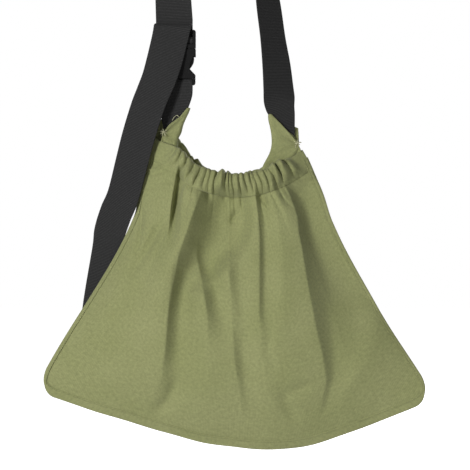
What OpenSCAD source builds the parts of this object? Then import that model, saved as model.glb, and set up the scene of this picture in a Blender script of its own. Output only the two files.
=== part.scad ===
// Orchard picking bag: canvas bag with an elastic mouth, hung on a webbing strap with a side-release buckle.
// Millimetres: +X to the right seen from the front, +Y away from the viewer, +Z up.
// The origin is the point of the strap that rests on the shoulder.

/* [Strap] */
// Width of the webbing
webbing_w = 50; // [46:1:54]
// Thickness of the webbing
webbing_t = 1.6; // [1.2:0.1:1.8]
// Inside radius of the strap over the shoulder
shoulder_r = 57; // [50:1:64]
// Drop from the shoulder to the mouth of the buckle
buckle_drop = 276; // [262:1:282]
// Distance of the buckle to the left of the shoulder's middle
buckle_left = 53; // [49:1:57]

/* [Bag] */
// Distance between the knots of the two ears
mouth_w = 185; // [179:1:192]
// Drop from the mouth of the buckle to the knots of the ears
tab_drop = 124; // [118:1:140]
// Distance of the bag's middle to the right of the shoulder's middle
bag_right = 25; // [22:1:28]
// Width of the bag across its bottom corners
bag_w = 554; // [534:1:580]
// Drop from the knots to the bottom corners
corner_drop = 356; // [330:1:390]
// Drop from the bottom corners to the lowest point of the bottom edge
hem_sag = 76; // [55:1:95]
// Dip of the mouth between the ears
mouth_dip = 43; // [34:1:52]
// How far each end of the mouth reaches out past its knot
mouth_reach = 3; // [1:0.5:6]
// Depth of the open mouth in front of the ears, and behind them
mouth_depth = 30; // [22:1:38]
// Swell of the front panel
front_swell = 44; // [30:1:55]
// Swell of the back panel
back_swell = 10; // [4:1:14]
// Thickness of the canvas
canvas_t = 1.2; // [0.8:0.1:1.6]

/* [Hang] */
// How much lower the right ear hangs
ear_fall = 15; // [8:1:22]
// How much lower the right corner hangs
corner_fall = 11; // [0:1:20]
// How far right of the mouth the two corners hang
corner_shift = 6; // [0:1:10]
// How far right of the mouth the lowest point hangs
low_shift = 55; // [20:1:80]
// How far the left edge bows in
left_bow = 19; // [8:1:22]
// How far the right edge bows in
right_bow = 11; // [4:1:16]

/* [Mouth] */
// Height of the elastic casing
casing_h = 31; // [27:1:35]
// Thickness of the casing with its elastic, between gathers
casing_t = 5.4; // [5:0.1:6.4]
// Number of gathers along each casing
gathers = 15; // [9:2:17]
// Height of the gathers
gather_h = 2.6; // [1:0.1:3.4]
// Width of the elastic
elastic_w = 20; // [16:1:22]
// Thickness of the elastic
elastic_t = 1.6; // [1.2:0.1:2]
// Drop of the deepest fold in the front panel
front_fold = 22; // [8:1:24]
// Drop of the deepest fold in the back panel
back_fold = 7; // [3:0.5:9]

/* [Binding] */
// Width of the binding on the side edges
side_binding_w = 5; // [4:0.5:6]
// Width of the binding on the bottom edge
bottom_binding_w = 11; // [8:0.5:14]
// Thickness of the folded binding
binding_t = 0.8; // [0.6:0.1:1]

/* [Ears] */
// Distance from the knot to the tip of the ear, across
ear_w = 36; // [34:1:40]
// Distance from the knot to the tip of the ear, up
ear_h = 36; // [34:1:38]
// Height of the ear under the knot
ear_skirt = 8; // [6:0.5:12]
// How far the right ear turns to the wearer's neck, in degrees
right_ear_turn = 15; // [10:1:18]

/* [Buckle] */
// Length of the plug's ladder frame
ladder_h = 26; // [25:0.5:28]
// Length of the socket
socket_h = 51; // [49:0.5:53]
// Length of the socket's closed ring at the mouth
ring_h = 12; // [11:0.5:13]
// Length of the side window under the ring
window_h = 17; // [16:0.5:18]
// Thickness of the socket
socket_t = 12; // [11:0.5:12.5]
// Width of the side rails past the webbing
rail_w = 4.3; // [3.8:0.1:5]
// Radius of the two strap bars in the plug
bar_r = 2.1; // [1.8:0.1:2.2]
// Radius of the tab bar in the socket
tab_bar_r = 2.25; // [2:0.05:2.4]
// Reach of each prong's catch behind the ring
catch_w = 1.9; // [1.5:0.1:2.2]

/* [Fits] */
// Clearance between webbing and what it passes
webbing_clear = 0.3; // [0.2:0.05:0.4]
// Clearance at each side of the webbing in a slot
slot_clear = 0.7; // [0.5:0.1:1]
// Clearance of a prong's round root in its seat
root_clear = 0.1; // [0.08:0.01:0.15]
// Clearance between the plug and the inside of the socket
plug_clear = 0.4; // [0.3:0.05:0.5]
// Gap where one sewn piece butts against another
seam_clear = 0.3; // [0.2:0.05:0.4]

/* [Hidden] */
$fn = 48;
FRONT = -1;
BACK = 1;
canvas = [0.56, 0.58, 0.42];
webbing = [0.19, 0.19, 0.19];
plastic = [0.16, 0.15, 0.15];
thread = [0.5, 0.52, 0.38];
rubber = [0.85, 0.84, 0.8];

// Bag outline, seen from the front: knots, corners and the lowest point as [x, z].
knot_drop = buckle_drop + tab_drop;
knot_l = [bag_right - mouth_w / 2, ear_fall / 2 - knot_drop];
knot_r = [bag_right + mouth_w / 2, -ear_fall / 2 - knot_drop];
corner_l = [bag_right + corner_shift - bag_w / 2, corner_fall / 2 - knot_drop - corner_drop];
corner_r = [bag_right + corner_shift + bag_w / 2, -corner_fall / 2 - knot_drop - corner_drop];
low = [bag_right + low_shift, -knot_drop - corner_drop - hem_sag];
front_mouth_power = 2.1;
back_mouth_power = 1.6;
hem_round = 0.2;
lens_power = 2.4;
corner_round = 0.1;
left_skew = 0.75;
right_skew = 1.35;
seam_half = seam_clear / 2;
casing_wall = 1;
fold_room = 0.7;
panel_columns = 44;
panel_rows = 15;
casing_steps = gathers * 4;

// Folds: each row has s, u, share of the drop, half width of the slope that falls away to the right, and how
// far the cloth takes to rise again, both as shares of the bag's half width there.
front_folds = [
    [[0.09, -0.33, 0, 0.14, 0.4], [0.13, -0.36, 0.6, 0.15, 0.45], [0.17, -0.37, 0.87, 0.15, 0.45],
     [0.22, -0.37, 1, 0.14, 0.4], [0.28, -0.4, 0.87, 0.115, 0.28], [0.34, -0.45, 0.68, 0.075, 0.16],
     [0.4, -0.45, 0.6, 0.06, 0.14], [0.5, -0.43, 0.6, 0.05, 0.17], [0.6, -0.41, 0.55, 0.045, 0.2],
     [0.7, -0.39, 0.45, 0.04, 0.2], [0.8, -0.4, 0.23, 0.04, 0.2], [0.9, -0.45, 0, 0.04, 0.2]],
    [[0.26, -0.27, 0, 0.07, 0.18], [0.33, -0.27, 0.27, 0.06, 0.17], [0.39, -0.21, 0.36, 0.06, 0.16],
     [0.46, -0.16, 0.32, 0.06, 0.15], [0.54, -0.12, 0.23, 0.055, 0.14], [0.65, -0.11, 0, 0.05, 0.13]],
    [[0.12, 0.03, 0, 0.05, 0.17], [0.24, 0.03, 0.2, 0.05, 0.19], [0.4, 0.02, 0.25, 0.04, 0.16],
     [0.55, 0.03, 0.28, 0.035, 0.14], [0.68, 0.04, 0.3, 0.03, 0.14], [0.8, 0.06, 0.18, 0.026, 0.13],
     [0.92, 0.08, 0, 0.024, 0.12]],
    [[0.09, 0.26, 0, 0.04, 0.13], [0.12, 0.3, 0.27, 0.036, 0.14], [0.19, 0.31, 0.36, 0.033, 0.16],
     [0.29, 0.28, 0.36, 0.03, 0.17], [0.4, 0.25, 0.32, 0.027, 0.16], [0.5, 0.22, 0.23, 0.024, 0.14],
     [0.57, 0.22, 0, 0.022, 0.13]],
    [[0.09, 0.65, 0, 0.075, 0.19], [0.15, 0.71, 0.55, 0.076, 0.2], [0.21, 0.72, 0.82, 0.088, 0.24],
     [0.29, 0.7, 0.91, 0.086, 0.28], [0.36, 0.68, 0.82, 0.073, 0.3], [0.45, 0.64, 0.68, 0.06, 0.28],
     [0.55, 0.6, 0.6, 0.055, 0.25], [0.63, 0.58, 0.6, 0.045, 0.2], [0.71, 0.57, 0.5, 0.037, 0.14],
     [0.78, 0.55, 0.32, 0.026, 0.1], [0.84, 0.51, 0.18, 0.018, 0.08], [0.92, 0.45, 0, 0.016, 0.08]]];
back_folds = [for (u = [-0.6, -0.15, 0.26, 0.65])
    [[0.09, u, 0, 0.08, 0.28], [0.25, u, 1, 0.07, 0.26], [0.55, u, 0.65, 0.06, 0.22],
     [0.78, u, 0, 0.05, 0.2]]];

// Buckle, in its own frame: z = 0 at the socket's mouth, going up into the plug.
buckle_w = webbing_w + 2 * (slot_clear + rail_w);
buckle_half = buckle_w / 2;
slot_half = webbing_w / 2 + slot_clear;
bar_a_z = ladder_h - bar_r;
bar_b_z = 12.2;
base_h = 5.5;
plug_seat = 0.3;
turn_r = bar_r + webbing_clear + webbing_t / 2;
load_y = turn_r + webbing_t + webbing_clear + 0.1;
tail_y = -socket_t / 2 - 2.6;
tab_r = tab_bar_r + webbing_clear + webbing_t / 2;
tab_bar_z = tab_bar_r - socket_h;
tab_leg_y = webbing_t / 2 + webbing_clear;
cavity_half = buckle_half - rail_w;
cavity_t = 7.2;
prong_t = cavity_t - 2 * plug_clear;
prong_root = [18, 2.2];
prong_root_r = 2;
prong_tip_z = -ring_h - window_h + 0.7;

function lerp(a, b, t) = a + (b - a) * t;
function unit(v) = v / norm(v);
function blend_point(a, b, c, d, t) =
    0.5 * (2 * b + (c - a) * t + (2 * a - 5 * b + 4 * c - d) * t * t + (3 * b - a - 3 * c + d) * t * t * t);
// A smooth run through hand-chosen stations, with a number of steps between each two.
function smooth(p, steps) = let (last = len(p) - 1)
    [for (i = [0 : last - 1], k = [0 : steps - 1])
        blend_point(p[max(i - 1, 0)], p[i], p[i + 1], p[min(i + 2, last)], k / steps)];

// Bag surface: u runs from the left edge (-1) to the right edge (1), s from the mouth (0) to the bottom (1).
function mouth_line(side, u) =
    let (t = (u + 1) / 2, power = side == FRONT ? front_mouth_power : back_mouth_power)
    [lerp(knot_l.x - mouth_reach, knot_r.x + mouth_reach, t),
     lerp(knot_l.y, knot_r.y, t) - ear_skirt - mouth_dip * (1 - pow(abs(u), power))];
// A V with a rounded point, 0 at the point and 1 at the ends.
function soft_v(k) = (norm([k, hem_round]) - hem_round) / (norm([1, hem_round]) - hem_round);
function bottom_line(u) =
    let (x = lerp(corner_l.x, corner_r.x, (u + 1) / 2), side = x < low.x ? corner_l : corner_r)
    [x, lerp(low.y, side.y, soft_v((x - low.x) / (side.x - low.x)))];
function rib_length(side, u) = norm(bottom_line(u) - mouth_line(side, u));
// Rounds the two bottom corners.
function rounded(u, s) =
    let (a = 1 - corner_round, q = max(0, (abs(u) - a) / corner_round), r = max(0, (s - a) / corner_round))
    [abs(u) < a ? u : sign(u) * (a + corner_round * q * sqrt(1 - r * r / 2)),
     s < a ? s : a + corner_round * r * sqrt(1 - q * q / 2)];
function outline(side, u, s) =
    let (c = rounded(u, s), p = lerp(mouth_line(side, c.x), bottom_line(c.x), c.y),
         bow = c.x < 0 ? left_bow : -right_bow, skew = c.x < 0 ? left_skew : right_skew)
    [p.x + bow * pow(abs(c.x), 3) * pow(sin(180 * pow(c.y, skew)), 2), p.y];
function swell(side) = side == FRONT ? front_swell : back_swell;
function body(side, u, s) =
    (mouth_depth * (1 - s) + swell(side) * sin(180 * pow(s, 1.3))) * (1 - pow(abs(u), lens_power));
function ease(low, high, x) = let (t = min(max((x - low) / (high - low), 0), 1)) t * t * (3 - 2 * t);
function fold_share(fold, u, s) =
    let (r = [for (k = [1 : 4]) lookup(s, [for (row = fold) [row[0], row[k]]])], off = u - r[0])
    r[1] * ease(-r[2], r[2], off) * (1 - ease(r[2], r[2] + r[3], off));
function sum(v) = v * [for (x = v) 1];
function folds(side, u, s) = side == FRONT
    ? front_fold * sum([for (f = front_folds) fold_share(f, u, s)])
    : back_fold * sum([for (f = back_folds) fold_share(f, u, s)]);
// Folds stay within a share of the bag's depth.
function depth(side, u, s) =
    let (b = body(side, u, s), f = folds(side, u, s), room = fold_room * b + 0.01)
    b - f / pow(1 + pow(f / room, 4), 0.25);
function skin(side, u, s) = let (p = outline(side, u, s)) [p.x, side * (seam_half + depth(side, u, s)), p.y];
function skin_normal(side, u, s) =
    let (a = min(max(u, -0.98), 0.98), b = min(s, 0.98), d = 0.005,
         du = skin(side, a + d, b) - skin(side, a - d, b),
         ds = skin(side, a, b + d) - skin(side, a, b - d),
         n = unit(cross(du, ds)))
    n.y * side < 0 ? -n : n;
function skin_off(side, u, s, off) = skin(side, u, s) + off * skin_normal(side, u, s);
// Where the panel starts, under the casing.
function panel_top(side, u) = (casing_h + seam_clear) / rib_length(side, u);

// A solid between two grids of points; wrap closes it round its columns.
function two(a, b, c, d, flip) = flip ? [[a, d, c], [a, c, b]] : [[a, b, c], [a, c, d]];
module between(outer, inner, wrap = false, flip = false) {
    rows = len(outer);
    cols = len(outer[0]);
    back = rows * cols;
    last = wrap ? cols - 1 : cols - 2;
    function at(i, j) = i * cols + j % cols;
    faces = concat(
        [for (i = [0 : rows - 2], j = [0 : last])
            each two(at(i, j), at(i, j + 1), at(i + 1, j + 1), at(i + 1, j), flip)],
        [for (i = [0 : rows - 2], j = [0 : last])
            let (a = back + at(i, j), b = back + at(i, j + 1))
            each two(a, back + at(i + 1, j), back + at(i + 1, j + 1), b, flip)],
        [for (j = [0 : last]) each two(at(0, j), back + at(0, j), back + at(0, j + 1), at(0, j + 1), flip)],
        [for (j = [0 : last])
            let (a = at(rows - 1, j), b = at(rows - 1, j + 1)) each two(a, b, back + b, back + a, flip)],
        wrap ? [] : [for (i = [0 : rows - 2])
            each two(at(i, 0), at(i + 1, 0), back + at(i + 1, 0), back + at(i, 0), flip)],
        wrap ? [] : [for (i = [0 : rows - 2])
            let (a = at(i, cols - 1), b = at(i + 1, cols - 1)) each two(a, back + a, back + b, b, flip)]
    );
    polyhedron(concat([for (row = outer) each row], [for (row = inner) each row]), faces, convexity = 10);
}

// Flat band through stations [x, y, z, width direction, width].
function place_of(q) = [q[0], q[1], q[2]];
function along(route, i) =
    unit(place_of(route[min(i + 1, len(route) - 1)]) - place_of(route[max(i - 1, 0)]));
function across(route, i) =
    let (t = along(route, i), h = [route[i][3], route[i][4], route[i][5]]) unit(h - (h * t) * t);
function band_face(route, thick) = [for (i = [0 : len(route) - 1])
    let (w = across(route, i), n = cross(along(route, i), w), p = place_of(route[i]) + n * thick / 2,
         half = w * route[i][6] / 2)
    [p - half, p + half]];
module band(route, thick) {
    between(band_face(route, thick), band_face(route, -thick));
}

module panel(side) {
    function grid(off) = [for (i = [0 : panel_rows])
        [for (j = [0 : panel_columns])
            let (u = 2 * j / panel_columns - 1, s = lerp(panel_top(side, u), 1, i / panel_rows))
            skin_off(side, u, s, off)]];
    between(grid(canvas_t), grid(0), flip = side == BACK);
}
module front_panel() color(canvas) panel(FRONT);
module back_panel() color(canvas) panel(BACK);

// Folded strip over the raw edges, down the left side, along the bottom and up the right side.
binding_top = 0.1;
binding_path = concat(
    [for (k = [0 : 14]) [-1, lerp(binding_top, 0.99, k / 14)]],
    [for (k = [0 : 30]) [lerp(-0.99, 0.99, k / 30), 1]],
    [for (k = [14 : -1 : 0]) [1, lerp(binding_top, 0.99, k / 14)]]);
function binding_inner(c) =
    let (half = (outline(FRONT, 1, c.y).x - outline(FRONT, -1, c.y).x) / 2)
    [c.x * (1 - side_binding_w / half),
     c.y - bottom_binding_w / rib_length(FRONT, c.x) * (c.y - binding_top) / (1 - binding_top)];
function binding_row(c, off, tip) =
    let (b = binding_inner(c), edge = outline(FRONT, c.x, c.y), e = unit(edge - outline(FRONT, b.x, b.y)),
         far = edge + e * tip)
    [skin_off(FRONT, b.x, b.y, off),
     skin_off(FRONT, lerp(b.x, c.x, 0.5), lerp(b.y, c.y, 0.5), off),
     skin_off(FRONT, c.x, c.y, off),
     [far.x, -off / 2, far.y],
     [far.x, off / 2, far.y],
     skin_off(BACK, c.x, c.y, off),
     skin_off(BACK, lerp(b.x, c.x, 0.5), lerp(b.y, c.y, 0.5), off),
     skin_off(BACK, b.x, b.y, off)];
module edge_binding() color(canvas) {
    near = canvas_t + 3 * seam_clear;
    between(
        [for (c = binding_path) binding_row(c, near + binding_t, 2 + binding_t)],
        [for (c = binding_path) binding_row(c, near, 2)],
        flip = true);
}

// Gathered channel along the mouth, hollow for its elastic.
casing_ring = [[0.06, 1], [0.5, 1], [0.94, 1], [1, 0], [0.94, -1], [0.5, -1], [0.06, -1], [0, 0]];
function casing_point(side, u, down, out) =
    let (p = skin(side, u, down / rib_length(side, u))) [p.x, p.y + side * (casing_t / 2 + out), p.z];
function gather(u) = gather_h * (0.5 + 0.5 * cos(180 * gathers * u)) * (1 - pow(abs(u), 8));
module casing(side) {
    between(
        [for (i = [0 : casing_steps]) let (u = 2 * i / casing_steps - 1)
            [for (c = casing_ring)
                let (puff = (c[1] > 0 ? 1 : 0.4) * gather(u))
                casing_point(side, u, c[0] * casing_h, c[1] * (casing_t / 2 + puff))]],
        [for (i = [0 : casing_steps]) let (u = 2 * i / casing_steps - 1)
            [for (c = casing_ring)
                casing_point(side, u, lerp(casing_h / 2, c[0] * casing_h, 1 - 2 * casing_wall / casing_h),
                    c[1] * (casing_t / 2 - casing_wall))]],
        wrap = true, flip = side == FRONT);
}
module front_casing() color(canvas) casing(FRONT);
module back_casing() color(canvas) casing(BACK);

module elastic(side) {
    function grid(out) = [for (i = [0 : 40]) let (u = 0.98 * (i / 20 - 1))
        [for (c = [0, 1]) casing_point(side, u, casing_h / 2 + (c - 0.5) * elastic_w, out)]];
    between(grid(elastic_t / 2), grid(-elastic_t / 2), flip = side == FRONT);
}
module front_elastic() color(rubber) elastic(FRONT);
module back_elastic() color(rubber) elastic(BACK);

// Plate in the XZ plane, from the outline given as [x, z].
module plate(y0, y1) translate([0, y1, 0]) rotate([90, 0, 0]) linear_extrude(y1 - y0) children();

// Ear in its own frame: knot at the origin, tip to +X. The webbing goes in between the two flaps.
ear_foot = 21;
ear_fold = 2.2;
ear_bottom = seam_clear - ear_skirt;
module ear(inside) {
    plate(-inside - canvas_t, -inside)
        polygon([[ear_w, ear_h], [0, 0], [-3, ear_bottom], [ear_foot, ear_bottom]]);
    plate(inside, inside + canvas_t)
        polygon([[ear_w, ear_h], [ear_w / 2, ear_h - 6], [-8, ear_h / 2], [-6, ear_bottom],
            [ear_foot, ear_bottom]]);
    plate(-inside - canvas_t, inside + canvas_t)
        polygon([[ear_w, ear_h], [ear_foot, ear_bottom], [ear_foot + ear_fold, ear_bottom],
            [ear_w + ear_fold, ear_h]]);
}
left_inside = tab_leg_y + webbing_t / 2 + webbing_clear;
right_inside = webbing_t / 2 + webbing_clear;
module at_left_ear() translate([knot_l.x, 0, knot_l.y]) children();
module at_right_ear()
    translate([knot_r.x, 0, knot_r.y]) rotate([0, 0, right_ear_turn]) mirror([1, 0, 0]) children();
module left_ear() color(canvas) at_left_ear() ear(left_inside);
module right_ear() color(canvas) at_right_ear() ear(right_inside);

// Knots of thread on the outside of both flaps.
knot_w = 7;
knot_h = 2.2;
knot_t = 0.9;
module knots(inside) {
    for (side = [FRONT, BACK])
        translate([3, side * (inside + canvas_t + 0.05 + knot_t / 2), -3])
            cube([knot_w, knot_t, knot_h], center = true);
}
module ear_stitching() color(thread) {
    at_left_ear() knots(left_inside);
    at_right_ear() knots(right_inside);
}

// One length of webbing, from inside the right ear to the tail behind the bag.
function turned(a) = [cos(a), sin(a), 0];
function station(p, dir, w) = [p.x, p.y, p.z, dir.x, dir.y, dir.z, w];
function in_right_ear(x, z, w) =
    station([knot_r.x, 0, knot_r.y + z] + x * turned(right_ear_turn), turned(right_ear_turn), w);
arch_r = shoulder_r + webbing_t / 2;
// Station of the right run: place, share of the way down from the arch to the knot, and the turn of its face.
function on_right(x, y, share, turn) =
    station([x, y, lerp(-shoulder_r, knot_r.y, share)], turned(turn), webbing_w);
right_run = [
    in_right_ear(-12, 4, 18),
    in_right_ear(-15, 20, 24),
    in_right_ear(-16.5, 35, 28),
    in_right_ear(-21.5, 50, 38),
    on_right(92, -5, 0.79, 32),
    on_right(89, -2, 0.69, 38),
    on_right(84, 0, 0.58, 45),
    on_right(77, 0, 0.43, 48),
    on_right(68, 0, 0.24, 66),
    on_right(60, 0, 0.08, 84)];
arch = [for (k = [0 : 18])
    station([arch_r * cos(10 * k), 0, arch_r * sin(10 * k) - shoulder_r], turned(90), webbing_w)];
// Station of the left run: share of the way from the arch to the buckle, share of the way back to the load
// ply, and the turn of its face.
left_end = ladder_h + 14;
function on_left(share, back, turn) =
    let (x = lerp(-arch_r, -buckle_left, pow(share, 2)), z = lerp(-shoulder_r, left_end - buckle_drop, share))
    station([x, load_y * back, z], turned(turn), webbing_w);
left_run = [on_left(0.16, 0, 95), on_left(0.38, 0.2, 130), on_left(0.66, 0.6, 165), on_left(0.84, 0.8, 176)];
function in_buckle(y, z) = station([-buckle_left, y, z - buckle_drop], turned(180), webbing_w);
function turn_round(y, z, r, a0, a1, steps) =
    [for (k = [0 : steps]) let (a = lerp(a0, a1, k / steps)) in_buckle(y + r * cos(a), z + r * sin(a))];
threading = concat(
    [in_buckle(load_y, left_end), in_buckle(load_y, ladder_h), in_buckle(load_y, bar_b_z + 6.5)],
    [in_buckle(turn_r + 0.4, bar_b_z + 2)],
    turn_round(0, bar_b_z, turn_r, 0, -270, 12),
    turn_round(0, bar_b_z + 2 * turn_r, turn_r, -75, 0, 4),
    turn_round((turn_r + tail_y) / 2, ladder_h + 1.6, (turn_r - tail_y) / 2, 0, 180, 10));
// Tail stations from the mouth of the buckle: right, back, up, and the turn of its face.
tail_steps = [[-6, tail_y, 13, 0], [-13, -9.6, -16, -6], [-20.5, -11, -41, -14], [-29, -12, -62, -18],
    [-37.5, -12.5, -84, -20], [-49, -10.5, -121, -22], [-58, -7, -155, -24], [-71, 0, -204, -27],
    [-82, 7, -230, -28], [-91, 17, -257, -30], [-94, 22, -280, -30], [-103.5, 28, -335, -28],
    [-108, 29, -368, -26], [-112, 28, -414, -22]];
tail = [for (p = tail_steps)
    station([p[0] - buckle_left, p[1], p[2] - buckle_drop], turned(180 + p[3]), webbing_w)];
strap_route = concat(
    smooth(concat(right_run, [arch[0]]), 3),
    arch,
    smooth(concat([arch[18]], left_run, [threading[0]]), 3),
    threading,
    smooth(concat([threading[len(threading) - 1]], tail), 3),
    [tail[len(tail) - 1]]);
module shoulder_strap() color(webbing) band(strap_route, webbing_t);

// Doubled webbing, round the socket's bar and into the left ear.
function in_left_ear(x, z, y, w) = station([knot_l.x + x, y, knot_l.y + z], turned(180), w);
function tab_leg(y) = [
    in_left_ear(8, 4, y, 18),
    in_left_ear(12, 20, y, 32),
    in_left_ear(13.5, 34, y, 40),
    station([-buckle_left, y, tab_bar_z - buckle_drop - 16], turned(180), webbing_w)];
function reversed(p) = [for (i = [len(p) - 1 : -1 : 0]) p[i]];
tab_front = smooth(concat(tab_leg(-tab_leg_y), [in_buckle(-tab_r, tab_bar_z)]), 2);
tab_back = smooth(concat(tab_leg(tab_leg_y), [in_buckle(tab_r, tab_bar_z)]), 2);
tab_route = concat(tab_front, turn_round(0, tab_bar_z, tab_r, 180, 0, 10), reversed(tab_back));
module buckle_tab() color(webbing) band(tab_route, webbing_t);

module at_buckle() translate([-buckle_left, 0, -buckle_drop]) children();
module slab(t) rotate([90, 0, 0]) linear_extrude(t, center = true) children();
module bar(r, z)
    translate([0, 0, z]) rotate([0, 90, 0]) cylinder(r = r, h = 2 * slot_half + 1, center = true);

// Plug: base that stops on the socket's mouth, ladder of two bars for the strap, tongue down the middle.
rail_t = 6;
tongue_w = 12;
tongue_t = 4;
module prong_seat() translate([prong_root.x, prong_root.y]) {
    circle(r = prong_root_r + root_clear);
    translate([-2.6, -prong_root.y - 1]) square([5.2, prong_root.y + 0.6]);
}
module buckle_plug() color(plastic) at_buckle() {
    difference() {
        slab(socket_t) {
            translate([-buckle_half, plug_seat]) square([buckle_w, base_h - plug_seat]);
        }
        slab(cavity_t) {
            prong_seat();
            mirror([1, 0]) prong_seat();
        }
    }
    for (side = [0, 1]) mirror([side, 0, 0]) slab(rail_t)
        polygon([[slot_half, base_h - 0.5], [buckle_half, base_h - 0.5], [buckle_half, ladder_h - 3],
            [buckle_half - 0.9, ladder_h - 0.9], [buckle_half - 3, ladder_h], [slot_half, ladder_h]]);
    bar(bar_r, bar_a_z);
    bar(bar_r, bar_b_z);
    slab(tongue_t) translate([-tongue_w / 2, prong_tip_z + 2]) square([tongue_w, base_h - prong_tip_z - 3]);
}

// Right prong in the buckle's frame: round root, springy arm, catch under the ring, pad in the window.
module prong() {
    catch_x = cavity_half + catch_w;
    top = -ring_h - plug_clear;
    slab(prong_t) translate([prong_root.x, prong_root.y]) circle(r = prong_root_r);
    slab(prong_t) polygon([[prong_root.x - 1.6, prong_root.y], [prong_root.x + 1.6, prong_root.y],
        [prong_root.x + 2.2, top + 0.8], [catch_x - 0.6, top], [catch_x, top - 0.6],
        [catch_x + 0.1, top - 3], [catch_x - 0.3, top - 6],
        [catch_x - 1.3, top - 9], [catch_x - 3, top - 12], [catch_x - 5.2, prong_tip_z + 0.8],
        [catch_x - 7, prong_tip_z], [catch_x - 9, prong_tip_z + 0.6], [prong_root.x, prong_tip_z + 3.5],
        [prong_root.x - 1.6, top - 2]]);
}
module right_prong() color(plastic) at_buckle() prong();
module left_prong() color(plastic) at_buckle() mirror([1, 0, 0]) prong();

// Socket: closed ring at the mouth, side windows for the prongs, bar for the tab at the bottom.
function socket_side(inset) = [
    [buckle_half - 1.5 - inset, -inset],
    [buckle_half - inset, -1.5 - inset],
    [buckle_half - inset, -ring_h + inset],
    [buckle_half - 2.5 - inset, -ring_h + inset],
    [buckle_half - 5.2 - inset, -ring_h - 5],
    [buckle_half - 7 - inset, -ring_h - 10],
    [buckle_half - 8 - inset, -ring_h - window_h + 1],
    [buckle_half - 8 - inset, -ring_h - window_h - inset],
    [buckle_half - 0.5 - inset, -ring_h - window_h - 8 - inset],
    [buckle_half - 0.5 - inset, 3 - socket_h],
    [buckle_half - 1.3 - inset, 1 - socket_h + inset],
    [buckle_half - 3 - inset, inset - socket_h]];
function socket_outline(inset) =
    concat(socket_side(inset), [for (p = reversed(socket_side(inset))) [-p.x, p.y]]);
slot_top = tab_bar_z + tab_bar_r + 4.6;
module buckle_socket() color(plastic) at_buckle() {
    difference() {
        union() {
            slab(socket_t - 3) polygon(socket_outline(0));
            slab(socket_t) polygon(socket_outline(1.2));
        }
        slab(cavity_t) polygon([[-cavity_half, 1], [cavity_half, 1], [cavity_half, -ring_h - window_h + 3],
            [cavity_half - 6, -ring_h - window_h - 2.5], [6 - cavity_half, -ring_h - window_h - 2.5],
            [-cavity_half, -ring_h - window_h + 3]]);
        slab(cavity_t) translate([-buckle_half - 1, 1 - ring_h - window_h])
            square([buckle_w + 2, window_h - 1]);
        slab(socket_t + 2) translate([-slot_half, -socket_h - 1])
            square([2 * slot_half, slot_top + socket_h + 1]);
    }
    bar(tab_bar_r, tab_bar_z);
}

front_panel();
back_panel();
edge_binding();
front_casing();
back_casing();
front_elastic();
back_elastic();
left_ear();
right_ear();
ear_stitching();
shoulder_strap();
buckle_tab();
buckle_plug();
left_prong();
right_prong();
buckle_socket();
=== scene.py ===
"""Looks of a canvas picking bag: gathered mouth, webbing strap and side-release buckle, on a plain stage."""

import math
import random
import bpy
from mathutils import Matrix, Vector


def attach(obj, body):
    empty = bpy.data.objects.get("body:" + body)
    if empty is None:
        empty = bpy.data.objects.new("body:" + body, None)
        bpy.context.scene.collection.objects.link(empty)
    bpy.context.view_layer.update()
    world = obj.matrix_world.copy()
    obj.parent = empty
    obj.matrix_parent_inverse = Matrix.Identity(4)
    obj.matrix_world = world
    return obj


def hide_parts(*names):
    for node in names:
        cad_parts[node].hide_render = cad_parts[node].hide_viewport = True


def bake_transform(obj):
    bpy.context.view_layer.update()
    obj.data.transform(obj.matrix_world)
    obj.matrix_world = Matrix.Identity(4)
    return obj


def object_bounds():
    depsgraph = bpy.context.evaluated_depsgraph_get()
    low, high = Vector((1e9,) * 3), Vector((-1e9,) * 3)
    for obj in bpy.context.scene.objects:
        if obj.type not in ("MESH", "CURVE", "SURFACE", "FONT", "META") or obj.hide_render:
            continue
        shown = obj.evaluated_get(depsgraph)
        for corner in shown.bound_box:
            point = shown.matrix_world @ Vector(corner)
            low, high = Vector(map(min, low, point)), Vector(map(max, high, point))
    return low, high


bl_info = {
    "name": "Picking Bag",
    "version": (1, 0, 0),
    "blender": (4, 5, 0),
    "location": "View3D > Sidebar > Picking Bag",
    "description": "Dresses a canvas picking bag with its webbing strap and buckle, and sets a plain stage",
    "category": "Object",
}

import bpy
import numpy as np
from bpy.props import FloatProperty, FloatVectorProperty, PointerProperty
from mathutils import Vector, noise

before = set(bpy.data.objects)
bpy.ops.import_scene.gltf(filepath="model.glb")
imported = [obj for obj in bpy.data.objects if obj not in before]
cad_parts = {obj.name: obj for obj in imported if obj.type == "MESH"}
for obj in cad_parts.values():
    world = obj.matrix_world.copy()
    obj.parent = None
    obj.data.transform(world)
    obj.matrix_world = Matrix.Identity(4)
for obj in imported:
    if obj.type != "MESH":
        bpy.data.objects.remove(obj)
CAD_BOX = [list(corner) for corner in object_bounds()]

MM = 0.001
FRONT = -1
BACK = 1
BAG = "bag"


# Sizes and colours that a user would change

def from_hex(code):
    """Linear colour of an sRGB hex value."""
    parts = [int(code[i:i + 2], 16) / 255 for i in (0, 2, 4)]
    return tuple(c / 12.92 if c <= 0.04045 else ((c + 0.055) / 1.055) ** 2.4 for c in parts)


def length(name, description, millimetres):
    """A size, given in millimetres and kept in metres."""
    return FloatProperty(name=name, description=description, default=millimetres * MM, unit="LENGTH",
                         precision=4)


def colour(name, description, code):
    """A colour, given as a hex value."""
    return FloatVectorProperty(name=name, description=description, default=from_hex(code), subtype="COLOR",
                               min=0, max=1)


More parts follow.
